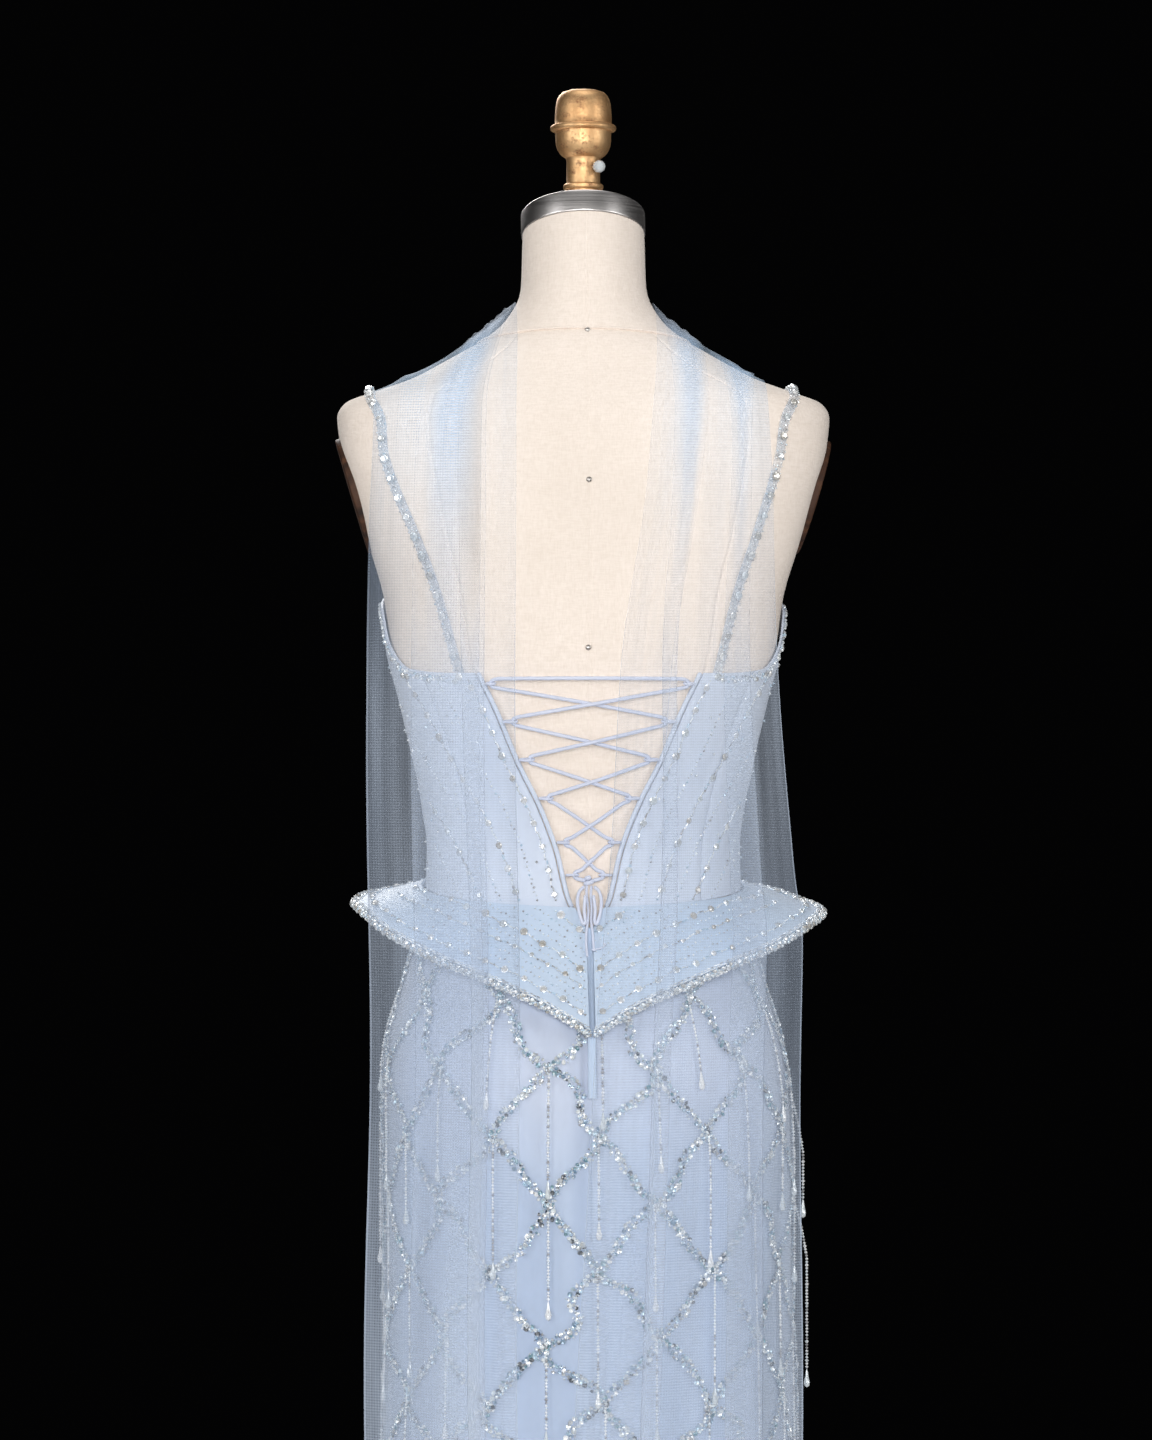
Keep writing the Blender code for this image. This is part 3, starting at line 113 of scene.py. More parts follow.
# degrees from centre back, height and flare of the peplum's edge
PEPLUM_ROWS = ((0, 0.9124, 0.0050), (15, 0.9345, 0.0060), (33, 0.9525, 0.0090), (55, 0.9700, 0.0210),
               (75, 0.9880, 0.0440), (90, 0.9990, 0.0560), (110, 1.0050, 0.0560), (130, 1.0120, 0.0470),
               (155, 1.0215, 0.0260), (180, 1.0270, 0.0100))
# height, half the width of the back opening
OPENING_ROWS = ((0.9905, 0.0035), (1.0132, 0.0137), (1.0512, 0.0228), (1.0816, 0.0340),
                (1.1196, 0.0525), (1.1576, 0.0684), (1.1864, 0.0825), (1.2000, 0.0892))
# height, degrees
SIDE_BACK_ROWS = ((1.00, 44), (1.10, 48), (1.19, 56))
SIDE_FRONT_ROWS = ((1.02, 122), (1.10, 119), (1.25, 110))
PRINCESS_ROWS = ((1.03, 162), (1.10, 155), (1.19, 149), (1.27, 146))


# Tables and curves ---
def table(rows):
    """A function that reads the other columns at a value of the first, on smooth curves without bumps."""
    data = np.array(rows, float)
    keys, values = data[:, 0], data[:, 1:].T
    steps = np.diff(keys)
    slopes = np.diff(values, axis=1) / steps
    before, after = slopes[:, :-1], slopes[:, 1:]
    both = before + after
    same = before * after > 0
    inner = np.where(same, 2 * before * after / np.where(same, both, 1.0), 0.0)
    tangents = np.concatenate([slopes[:, :1], inner, slopes[:, -1:]], axis=1)

    def read(key):
        key = np.clip(np.asarray(key, float), keys[0], keys[-1])
        at = np.clip(np.searchsorted(keys, key) - 1, 0, len(keys) - 2)
        span = steps[at]
        t = (key - keys[at]) / span
        found = (2 * t**3 - 3 * t**2 + 1) * values[:, at] + (t**3 - 2 * t**2 + t) * tangents[:, at] * span
        found += (3 * t**2 - 2 * t**3) * values[:, at + 1] + (t**3 - t**2) * tangents[:, at + 1] * span
        return found if len(found) > 1 else found[0]

    return read


read_form, read_skirt, read_shoulders = table(FORM_ROWS), table(SKIRT_ROWS), table(SHOULDER_ROWS)
top_edge, waist_seam, read_peplum = table(TOP_EDGE_ROWS), table(WAIST_ROWS), table(PEPLUM_ROWS)
opening_half, side_back = table(OPENING_ROWS), table(SIDE_BACK_ROWS)
side_front, princess = table(SIDE_FRONT_ROWS), table(PRINCESS_ROWS)


def matched(*values):
    """Arrays of one shape."""
    return np.broadcast_arrays(*(np.asarray(value, float) for value in values))


def circle(count):
    """`count` angles at even distances round a circle."""
    return np.linspace(0, 2 * math.pi, count, endpoint=False)


def mix(low, high, t):
    return low + (high - low) * t


def smooth_step(t):
    t = np.clip(t, 0.0, 1.0)
    return t * t * (3 - 2 * t)


def softened(values, width, axis=0):
    """Values smoothed along an axis by a bell `width` samples wide, with the ends held."""
    reach = max(1, int(3 * width))
    bell = np.exp(-(np.arange(-reach, reach + 1) / width) ** 2)
    bell /= bell.sum()
    values = np.moveaxis(np.asarray(values, float), axis, 0)
    first, last = values[:1], values[-1:]
    before = 2 * first - values[1:reach + 1][::-1]
    after = 2 * last - values[-reach - 1:-1][::-1]
    padded = np.concatenate([before, values, after])
    found = sum(w * padded[k:k + len(values)] for k, w in enumerate(bell))
    return np.moveaxis(found, 0, axis)


def unit(vectors):
    return vectors / np.maximum(np.linalg.norm(vectors, axis=-1, keepdims=True), 1e-12)


def spline(points, count):
    """`count` points at even distances along a smooth curve through `points`."""
    points = np.asarray(points, float)
    padded = np.concatenate([[2 * points[0] - points[1]], points, [2 * points[-1] - points[-2]]])
    place = np.linspace(0, len(points) - 1, 40 * len(points))
    at = np.minimum(place.astype(int), len(points) - 2)
    t = (place - at)[:, None]
    a, b, c, d = (padded[at + k] for k in range(4))
    fine = 0.5 * (2 * b + (c - a) * t + (2 * a - 5 * b + 4 * c - d) * t**2 + (3 * b - a - 3 * c + d) * t**3)
    return evenly(fine, count)


def distances(points, axis=0):
    """How far each point lies along its line, when lines run along an axis of the array."""
    run = np.cumsum(np.linalg.norm(np.diff(points, axis=axis), axis=-1), axis=axis)
    return np.concatenate([np.zeros_like(run.take([0], axis)), run], axis=axis)


def evenly(line, count):
    """`count` points at even distances along a line of points."""
    run = distances(line)
    target = np.linspace(0, run[-1], count)
    return np.stack([np.interp(target, run, line[:, k]) for k in range(line.shape[1])], -1)


# Surfaces ---
def degrees_from_back(turn):
    return np.degrees(np.arccos(np.clip(np.cos(turn), -1, 1)))


def outline(half_width, back, front, corner, turn):
    across, along = np.sin(turn), np.cos(turn)
    full = 1 + corner * np.sin(2 * turn) ** 2
    return half_width * across * full, np.where(along > 0, back, front) * along * full


def bust_bell(x, z):
    return np.exp(-((np.abs(x) - BUST_X) / BUST_SPREAD_X) ** 2 - ((z - BUST_Z) / BUST_SPREAD_Z) ** 2)


def with_bust(x, y, z, turn):
    return y - np.where(y < 0, BUST_REACH * bust_bell(x, z) * np.minimum(1.0, -2 * np.cos(turn)), 0.0)


def left_hip(z, turn):
    """The left hip is a little narrower than the right one."""
    near = smooth_step((0.93 - z) / 0.13) * smooth_step((z - 0.36) / 0.20)
    return 1 - LEFT_HIP_LESS * np.clip(np.sin(turn), 0, 1) ** 2 * near


def form_point(z, turn):
    z, turn = matched(z, turn)
    x, y = outline(*read_form(z), turn)
    x = x * left_hip(z, turn)
    return np.stack([x, with_bust(x, y, z, turn), z], -1)


def shoulder_point(place, turn):
    place, turn = matched(place, turn)
    z_back, z_side, z_front, half_width, back, front, corner = read_shoulders(place)
    x, y = outline(half_width, back, front, corner, turn)
    along = np.cos(turn)
    z = np.where(along > 0, mix(z_side, z_back, along), mix(z_side, z_front, -along))
    return np.stack([x, with_bust(x, y, z, turn), z], -1)


def skirt_point(z, turn):
    z, turn = matched(z, turn)
    x, y = outline(*read_skirt(z), turn)
    x = x * left_hip(z, turn)
    grown = (np.clip(FLUTE_TOP - z, 0, None) / (FLUTE_TOP - FLOOR_GAP)) ** 1.5
    wave = sum(share * np.cos(count * turn + phase) for count, share, phase in FLUTES)
    grow = 1 + FLUTE_DEPTH * grown * wave / np.hypot(x, y)
    return np.stack([x * grow, y * grow, z], -1)


def frame_at(surface, height, turn):
    """A surface's points, and its unit directions along the turn, up and out."""
    step = 0.002
    along = surface(height, turn + step) - surface(height, turn - step)
    up = surface(height + step, turn) - surface(height - step, turn)
    out = unit(np.cross(up, along))
    return surface(height, turn), unit(along), unit(up), out


def moved_out(surface, height, turn, distance):
    point, _, _, out = frame_at(surface, height, turn)
    return point + out * np.asarray(distance, float)[..., None]


def gown_point(z, turn):
    z, turn = matched(z, turn)
    skirt = skirt_point(np.minimum(z, HIP_TOP), turn)
    worn = moved_out(form_point, np.maximum(z, HIP_BOTTOM), turn, EASE)
    worn[..., 1] -= np.where(worn[..., 1] < 0, CUP_EASE * bust_bell(worn[..., 0], z), 0.0)
    share = smooth_step((HIP_TOP - z) / (HIP_TOP - HIP_BOTTOM))[..., None]
    blend = worn * (1 - share) + skirt * share
    blend[..., 2] = np.where(z <= HIP_BOTTOM, z, blend[..., 2])
    return blend


def gown_layer(z, turn, out):
    return moved_out(gown_point, z, turn, out)


def peplum_point(down, turn):
    degrees = degrees_from_back(turn)
    edge_z, flare = read_peplum(degrees)
    left = np.clip(np.sin(turn), 0, 1) ** 2
    flare = flare * (1 - PEPLUM_LEFT_LESS * left)
    z = mix(waist_seam(degrees) - WAIST_GAP, edge_z + PEPLUM_LEFT_RISE * left, down)
    start = gown_layer(z, turn, SATIN + SEAM_GAP + NET + LAYER_EASE)
    flat = np.stack([start[..., 0] / 1.4, start[..., 1], np.zeros_like(start[..., 0])], -1)
    return start + unit(flat) * (flare * np.clip(down, 0, None) ** PEPLUM_CURL)[..., None]


def turn_at_x(z, x):
    """The turn on the +X side of the back where the gown's surface at height z is `x` from the middle."""
    z, x = matched(z, x)
    low, high = np.zeros_like(z), np.full_like(z, QUARTER)
    for _ in range(22):
        middle = (low + high) / 2
        short = gown_point(z, middle)[..., 0] < x
        low, high = np.where(short, middle, low), np.where(short, high, middle)
    return low


def back_point(x, z, height):
    """Points over the form's back, `height` out from it."""
    x, z, height = matched(x, z, height)
    point = gown_layer(z, turn_at_x(z, np.abs(x)), height - EASE)
    point[..., 0] *= np.where(x < 0, -1.0, 1.0) * (x != 0)
    return point


# Meshes ---
def add_mesh(name, points, face_sets, look, smooth=True, sharp_degrees=None):
    """A piece that rides on the part's one body: each face set is an array with a face a row."""
    points = np.asarray(points, np.float32)
    face_sets = [np.asarray(faces, np.int32) for faces in face_sets]
    corners = np.concatenate([faces.ravel() for faces in face_sets])
    sizes = np.concatenate([np.full(len(faces), faces.shape[1]) for faces in face_sets])
    mesh = bpy.data.meshes.new(name)
    mesh.vertices.add(len(points))
    mesh.vertices.foreach_set("co", points.ravel())
    mesh.loops.add(len(corners))
    mesh.loops.foreach_set("vertex_index", corners)
    mesh.polygons.add(len(sizes))
    mesh.polygons.foreach_set("loop_start", (np.cumsum(sizes) - sizes).astype(np.int32))
    mesh.update(calc_edges=True)
    if smooth:
        mesh.shade_smooth()
        if sharp_degrees:
            mesh.set_sharp_from_angle(angle=math.radians(sharp_degrees))
    else:
        mesh.shade_flat()
    mesh.materials.append(look)
    piece = bpy.data.objects.new(name, mesh)
    bpy.context.scene.collection.objects.link(piece)
    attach(piece, "root")
    return piece


def add_uv(piece, uv):
    """A UV layer from one (u, v) for each vertex."""
    mesh = piece.data
    layer = mesh.uv_layers.new(name="cloth")
    corners = np.empty(len(mesh.loops), np.int32)
    mesh.loops.foreach_get("vertex_index", corners)
    layer.data.foreach_set("uv", np.asarray(uv, np.float32).reshape(-1, 2)[corners].ravel())


def grid_faces(rows, columns, start=0, closed=False):
    """Quads that face out where columns run with the turn and rows run up."""
    at = np.arange(rows * columns).reshape(rows, columns) + start
    if closed:
        at = np.concatenate([at, at[:, :1]], axis=1)
    return np.stack([at[:-1, 1:], at[:-1, :-1], at[1:, :-1], at[1:, 1:]], -1).reshape(-1, 4)


def barrel_faces(rows, columns):
    """Quads round closed rows, and a flat end at the bottom and at the top."""
    ends = [np.arange(columns)[None, ::-1], np.arange(columns)[None] + (rows - 1) * columns]
    return [grid_faces(rows, columns, 0, True)[:, ::-1], *ends]


def grid_normals(grid):
    """Unit normals that point out where columns run with the turn and rows run up."""
    return unit(np.cross(np.gradient(grid, axis=0), np.gradient(grid, axis=1)))


def grid_uv(grid):
    """Each point's distance in metres along its row and its column."""
    u, v = distances(grid, 1), distances(grid)
    return np.stack([u - u[:, -1:] / 2, v], -1)


def sheet_mesh(name, grid, look, uv=None):
    """One layer of cloth so thin that it needs no wall, such as net or tulle."""
    piece = add_mesh(name, grid.reshape(-1, 3), [grid_faces(*grid.shape[:2])], look)
    add_uv(piece, grid_uv(grid) if uv is None else uv)
    return piece


def shell(name, grid, thickness, look):
    """A closed wall: the grid is its inside face, and thickness may differ from point to point."""
    rows, columns = grid.shape[:2]
    outside = grid + grid_normals(grid) * np.broadcast_to(thickness, (rows, columns))[..., None]
    points = np.concatenate([grid.reshape(-1, 3), outside.reshape(-1, 3)])
    size = rows * columns
    at = np.arange(size).reshape(rows, columns)
    rim = np.concatenate([at[0, :-1], at[:-1, -1], at[-1, :0:-1], at[:0:-1, 0]])
    ahead = np.roll(rim, -1)
    edge = np.stack([rim, ahead, ahead + size, rim + size], -1)
    piece = add_mesh(name, points, [grid_faces(rows, columns)[:, ::-1], grid_faces(rows, columns, size), edge],
                     look, True, 50)
    uv = grid_uv(grid).reshape(-1, 2)
    add_uv(piece, np.concatenate([uv, uv]))
    return piece


def line_frames(line):
    """A line's unit directions, and a steady pair of cross directions."""
    ahead = unit(np.gradient(line, axis=0))
    side = np.zeros_like(line)
    first = np.cross(ahead[0], [0.0, 0.0, 1.0] if abs(ahead[0][2]) < 0.9 else [1.0, 0.0, 0.0])
    side[0] = first / np.linalg.norm(first)
    for at in range(1, len(line)):
        step = side[at - 1] - ahead[at] * (side[at - 1] @ ahead[at])
        side[at] = step / np.linalg.norm(step)
    return ahead, side, np.cross(ahead, side)


def tube_mesh(name, line, radius, look, sides=12):
    """A round tube along a line of points, with rounded ends; radius may be one for each point."""
    line = np.asarray(line, float)
    radius = np.broadcast_to(np.asarray(radius, float), len(line))
    ahead, side, up = line_frames(line)
    tip = 0.45
    first, last = line[0] - ahead[0] * radius[0] * tip, line[-1] + ahead[-1] * radius[-1] * tip
    line = np.concatenate([[first], line, [last]])
    side, up = (np.concatenate([v[:1], v, v[-1:]]) for v in (side, up))
    radius = np.concatenate([[radius[0] * tip], radius, [radius[-1] * tip]])
    angles = circle(sides)
    ring = side[:, None] * np.cos(angles)[:, None] + up[:, None] * np.sin(angles)[:, None]
    points = (line[:, None] + ring * radius[:, None, None]).reshape(-1, 3)
    points = np.concatenate([points, [line[0], line[-1]]])
    rows = len(line)
    at = np.arange(rows * sides).reshape(rows, sides)
    fans = []
    for row, tip_at in ((at[0][::-1], rows * sides), (at[-1], rows * sides + 1)):
        fans.append(np.stack([row, np.roll(row, -1), np.full(sides, tip_at)], -1))
    quads = grid_faces(rows, sides, 0, True)[:, ::-1]
    return add_mesh(name, points, [quads, *fans], look)


def turned(name, profile, look, segments=64, axis=(0.0, 0.0)):
    """A solid of revolution: profile rows are (radius, z), bottom to top."""
    profile = np.asarray(profile, float)
    angles = circle(segments)
    x = axis[0] + profile[:, :1] * np.cos(angles)
    y = axis[1] + profile[:, :1] * np.sin(angles)
    z = np.broadcast_to(profile[:, 1:], x.shape)
    points = np.stack([x, y, z], -1).reshape(-1, 3)
    return add_mesh(name, points, barrel_faces(len(profile), segments), look, True, 40)


def scattered(name, shape, places, look, smooth=False):
    """Copies of a small shape (points, triangles) joined in one mesh: places are (point, frame, size)."""
    points, faces = (np.asarray(part) for part in shape)
    where, frames, sizes = places
    sizes = np.broadcast_to(np.asarray(sizes, float), len(where))
    local = points[None] * sizes[:, None, None]
    world = np.einsum("nkc,ncd->nkd", local, frames) + where[:, None]
    starts = np.arange(len(where))[:, None, None] * len(points)
    every = (faces[None] + starts).reshape(-1, faces.shape[1])
    return add_mesh(name, world.reshape(-1, 3), [every], look, smooth, 40 if smooth else None)


def joined_places(*sets):
    return tuple(np.concatenate([s[k] for s in sets]) for k in range(3))


def framed(along, up, out, spin=None, tilt=0.0):
    """Frames (rows: along, up, out) turned about their own out direction and tilted at random."""
    count = len(out)
    spin = RANDOM.uniform(0, 2 * math.pi, count) if spin is None else np.broadcast_to(spin, count)
    c, s = np.cos(spin)[:, None], np.sin(spin)[:, None]
    a, b = along * c + up * s, up * c - along * s
    if tilt:
        lean = RANDOM.normal(0, tilt, (count, 2))
        out = unit(out + a * lean[:, :1] + b * lean[:, 1:])
        a = unit(a - out * (a * out).sum(-1, keepdims=True))
        b = np.cross(out, a)
    return np.stack([a, b, out], 1)


# Small shapes ---
def ring_points(radius, z, sides, phase=0.0):
    angles = circle(sides) + phase
    return [(radius * math.cos(a), radius * math.sin(a), z) for a in angles]


def bands(rings, sides, low=None, high=None):
    """Triangles between rings of points, and fans to a low and a high tip if those are given."""
    faces = []
    for r in range(rings - 1):
        for k in range(sides):
            a, b = r * sides + k, r * sides + (k + 1) % sides
            faces += [(a, b, b + sides), (a, b + sides, a + sides)]
    for k in range(sides):
        if low is not None:
            faces.append((k, low, (k + 1) % sides))
        if high is not None:
            faces.append(((rings - 1) * sides + k, (rings - 1) * sides + (k + 1) % sides, high))
    return faces


def sequin_shape():
    """A cupped disc, 1 m in radius."""
    return ring_points(1.0, 0.30, 7) + [(0.0, 0.0, 0.0)], bands(1, 7, None, 7)


def grain_shape():
    """A small eight-faced bead, for the thousands that a lattice takes."""
    points = [(1, 0, 0), (-1, 0, 0), (0, 1, 0), (0, -1, 0), (0, 0, 1), (0, 0, -1)]
    faces = [(0, 2, 4), (2, 1, 4), (1, 3, 4), (3, 0, 4), (2, 0, 5), (1, 2, 5), (3, 1, 5), (0, 3, 5)]
    return points, faces


def bugle_shape():
    """A cut tube bead, 1 m in half length along X."""
    points = [(z, x, y) for x, y, z in ring_points(0.36, -1.0, 4) + ring_points(0.36, 1.0, 4)]
    return points, bands(2, 4) + [(0, 2, 1), (0, 3, 2), (4, 5, 6), (4, 6, 7)]


def stone_shape():
    """A faceted stone in a claw cup, 1 m in radius, its table up."""
    sides = 8
    points = ring_points(0.80, -0.35, sides) + ring_points(1.04, 0.10, sides)
    points += ring_points(0.96, 0.22, sides, math.pi / 8) + ring_points(0.55, 0.62, sides)
    points.append((0.0, 0.0, 0.62))
    return points, bands(4, sides, None, 4 * sides)


def drop_shape():
    """A faceted teardrop that hangs down from its tip at the origin, 1 m long."""
    sides = 6
    points = ring_points(0.045, -0.10, sides) + ring_points(0.10, -0.45, sides)
    points += ring_points(0.17, -0.72, sides, 0.5) + ring_points(0.13, -0.90, sides)
    points += [(0.0, 0.0, 0.0), (0.0, 0.0, -1.0)]
    return points, [(a, c, b) for a, b, c in bands(4, sides, 24, 25)]


# Materials ---
def srgb(red, green, blue):
    """A linear colour from the usual 0 to 255 values."""
    return tuple((v / 255 / 12.92) if v < 10 else ((v / 255 + 0.055) / 1.055) ** 2.4
                 for v in (red, green, blue)) + (1.0,)


class Look:
    """A procedural material: a Principled shader and the nodes that feed it."""

    def __init__(self, name, **values):
        self.material = bpy.data.materials.new(name)
        self.material.use_nodes = True
        self.tree = self.material.node_tree
        self.shader = self.tree.nodes["Principled BSDF"]
        self.set(**values)

    def set(self, **values):
        for name, value in values.items():
            self.fill(self.shader.inputs[name.replace("_", " ")], value)
        return self

    def fill(self, socket, value):
        if isinstance(value, bpy.types.NodeSocket):
            self.tree.links.new(value, socket)
        else:
            socket.default_value = value

    def node(self, kind, inputs, output=0, **settings):
        made = self.tree.nodes.new(kind)
        for name, value in settings.items():
            setattr(made, name, value)
        for name, value in inputs.items():
            self.fill(made.inputs[name], value)
        return made.outputs[output]

    def place(self, stretch=(1, 1, 1), kind="Object"):
        where = self.node("ShaderNodeTexCoord", {}, kind)
        return self.node("ShaderNodeMapping", {"Vector": where, "Scale": stretch})

    def noise(self, scale, stretch=(1, 1, 1), detail=2.0, kind="Object"):
        return self.node("ShaderNodeTexNoise", {"Vector": self.place(stretch, kind), "Scale": scale,
                                                "Detail": detail})

    def threads(self, spacing, direction, kind="UV", distortion=0.0):
        """Rows of threads across X or Y, `spacing` metres apart."""
        return self.node("ShaderNodeTexWave", {"Vector": self.place(kind=kind), "Scale": 0.314 / spacing,
                                               "Distortion": distortion, "Detail": 1.0},
                         output="Fac", bands_direction=direction)

    def math(self, operation, first, second=0.0):
        return self.node("ShaderNodeMath", {0: first, 1: second}, operation=operation)

    def times(self, first, second):
        return self.math("MULTIPLY", first, second)

    def plus(self, first, second):
        return self.math("ADD", first, second)

    def minus(self, first, second):
        return self.math("SUBTRACT", first, second)

    def most(self, first, second):
        return self.math("MAXIMUM", first, second)

    def spread(self, value, low, high, to_low=0.0, to_high=1.0):
        return self.node("ShaderNodeMapRange", {"Value": value, "From Min": low, "From Max": high,
                                                "To Min": to_low, "To Max": to_high})

    def ease(self, value, low, high):
        """0 at low and 1 at high, with soft ends; low may be the larger."""
        if low > high:
            return self.minus(1.0, self.ease(value, high, low))
        return self.node("ShaderNodeMapRange", {"Value": value, "From Min": low, "From Max": high},
                         interpolation_type="SMOOTHSTEP")

    def blend(self, share, first, second):
        return self.node("ShaderNodeMix", {0: share, 6: first, 7: second}, output=2, data_type="RGBA")

    def steps(self, value, stops, interpolation="LINEAR"):
        made = self.node("ShaderNodeValToRGB", {"Fac": value}).node
        ramp = made.color_ramp
        ramp.interpolation = interpolation
        while len(ramp.elements) < len(stops):
            ramp.elements.new(0.5)
        for element, (at, colour) in zip(ramp.elements, stops):
            element.position, element.color = at, colour
        return made.outputs["Color"]

    def each(self):
        """A number from 0 to 1 that differs from bead to bead."""
        return self.node("ShaderNodeNewGeometry", {}, "Random Per Island")

    def facing(self, blend):
        return self.node("ShaderNodeLayerWeight", {"Blend": blend}, "Facing")

    def bump(self, *layers):
        """Bump from (height, depth in metres) layers."""
        normal = None
        for height, depth in layers:
            inputs = {"Height": height, "Distance": depth, "Strength": 1.0}
            if normal is not None:
                inputs["Normal"] = normal
            normal = self.node("ShaderNodeBump", inputs)
        return self.set(Normal=normal)


def make_linen():
    look = Look("linen", Roughness=0.88, Sheen_Weight=0.12, Sheen_Roughness=0.6, Specular_IOR_Level=0.25)
    slubs = look.noise(900.0, (1, 1, 0.16))
    cross_slubs = look.noise(900.0, (0.16, 0.16, 1))
    weave = look.plus(slubs, cross_slubs)
    cloud = look.noise(7.0, detail=3.0)
    warm = look.blend(look.spread(cloud, 0.35, 0.7), srgb(246, 234, 224), srgb(238, 226, 215))
    look.set(Base_Color=look.blend(look.spread(weave, 0.75, 1.3, 0.0, 0.5), warm, srgb(222, 208, 194)))
    return look.bump((weave, 0.00018), (look.noise(28.0, detail=3.0), 0.0012)).material


def make_steel(name, colour, roughness):
    look = Look(name, Metallic=1.0)
    brushed = look.noise(300.0, (0.05, 0.05, 8.0), detail=4.0)
    patches = look.noise(24.0, detail=3.0)
    dark = tuple(v * 0.72 for v in colour[:3]) + (1.0,)
    look.set(Base_Color=look.blend(look.spread(patches, 0.35, 0.75), colour, dark),
             Roughness=look.spread(brushed, 0.3, 0.7, roughness, roughness + 0.14))
    return look.bump((brushed, 0.00003)).material


def make_gilt():
    """Worn gold leaf over red-brown ground on turned wood."""
    look = Look("gilt", Specular_IOR_Level=0.5)
    leaf = look.noise(95.0, (1, 1, 1.8), detail=6.0)
    fine = look.noise(560.0, detail=3.0)
    worn = look.spread(look.plus(leaf, look.times(fine, 0.40)), 0.76, 0.96)
    cloud = look.spread(look.noise(40.0, detail=4.0), 0.3, 0.7)
    gold = look.blend(cloud, srgb(236, 196, 146), srgb(206, 156, 106))
    look.set(Base_Color=look.blend(worn, gold, srgb(146, 98, 64)),
             Metallic=look.spread(worn, 0.0, 1.0, 0.92, 0.45),
             Roughness=look.spread(fine, 0.3, 0.7, 0.42, 0.58))
    return look.bump((leaf, 0.0003), (fine, 0.00012)).material


def make_wood():
    look = Look("dark_wood", Roughness=0.62, Specular_IOR_Level=0.3)
    grain = look.noise(46.0, (1, 7.0, 0.6), detail=5.0)
    look.set(Base_Color=look.steps(grain, [(0.30, srgb(30, 17, 10)), (0.55, srgb(66, 40, 25)),
                                           (0.75, srgb(94, 62, 40))]))
    return look.bump((grain, 0.0002)).material


def make_iron():
    look = Look("black_iron", Metallic=0.7)
    cast = look.noise(330.0, detail=4.0)
    look.set(Base_Color=look.blend(look.spread(cast, 0.3, 0.7), srgb(40, 40, 42), srgb(62, 61, 60)),
             Roughness=look.spread(cast, 0.3, 0.7, 0.38, 0.58))
    return look.bump((cast, 0.00015)).material


def make_satin(name, light, deep, gloss=0.40, folds=0.0, low=None):
    """Duchess satin: soft gloss along its threads, random tone, painted sheen, and painted shade if `low` is
    given.
    """
    look = Look(name, Sheen_Weight=0.25, Sheen_Roughness=0.35, Specular_IOR_Level=0.5)
    threads = look.threads(0.00042, "X", distortion=1.5)
    ribs = look.threads(0.0011, "Y", distortion=3.0)
    cloud = look.noise(9.0, (1, 1, 0.35), detail=3.0)
    edge = look.facing(0.35)
    base = look.blend(look.spread(cloud, 0.3, 0.7), light, deep)
    # Painted shade: from 0.90 m down to 0.78 m the colour turns towards the darker, bluer `low` colour.
    if low:
        height = look.node("ShaderNodeSeparateXYZ", {"Vector": look.place()}, "Z")
        base = look.blend(look.spread(look.ease(height, 0.90, 0.78), 0.0, 1.0, 0.0, 0.8), base, low)
    # Painted sheen: the base colour turns paler towards grazing angles.
    painted_sheen_colour = tuple(min(1.0, v * 1.12 + 0.02) for v in light[:3]) + (1.0,)
    look.set(Base_Color=look.blend(look.times(edge, 0.35), base, painted_sheen_colour),
             Roughness=look.spread(look.noise(60.0, (1, 1, 0.2)), 0.3, 0.7, gloss - 0.04, gloss + 0.08))
    layers = [(threads, 0.00003), (ribs, 0.00002)]
    if folds:
        layers.append((look.noise(26.0, (1, 1, 0.30), detail=3.0), folds))
    return look.bump(*layers).material


def make_sheer(name, colour, bright, threads, cover, weave, patchy):
    """Net: fine threads `threads` metres apart that cover a share of it, with air between them."""
    look = Look(name, Roughness=0.75, Sheen_Weight=0.3, Sheen_Roughness=0.4, Specular_IOR_Level=0.3)
    mesh = look.most(look.threads(threads, "Y"), look.threads(threads, "X"))
    cloud = look.noise(11.0, (1, 1, 0.25), detail=3.0)
    share = look.plus(look.spread(mesh, 0.0, 1.0, cover - weave, cover + weave),
                      look.spread(cloud, 0.3, 0.7, -patchy, patchy))
    look.set(Alpha=look.plus(share, look.times(look.facing(0.30), 0.20)),
             Base_Color=look.blend(look.spread(cloud, 0.35, 0.65), colour, bright))
    return look.bump((mesh, 0.00006)).material


CRISP_BELOW, SOFT_ABOVE = 1.14, 1.30        # heights between which the tulle's folds lose their crisp edges
SHEER_ABOVE = 0.55                          # the share of its cover that the tulle keeps above them
DENSER_BELOW = 1.3                          # and how many times as dense it lies over the skirt


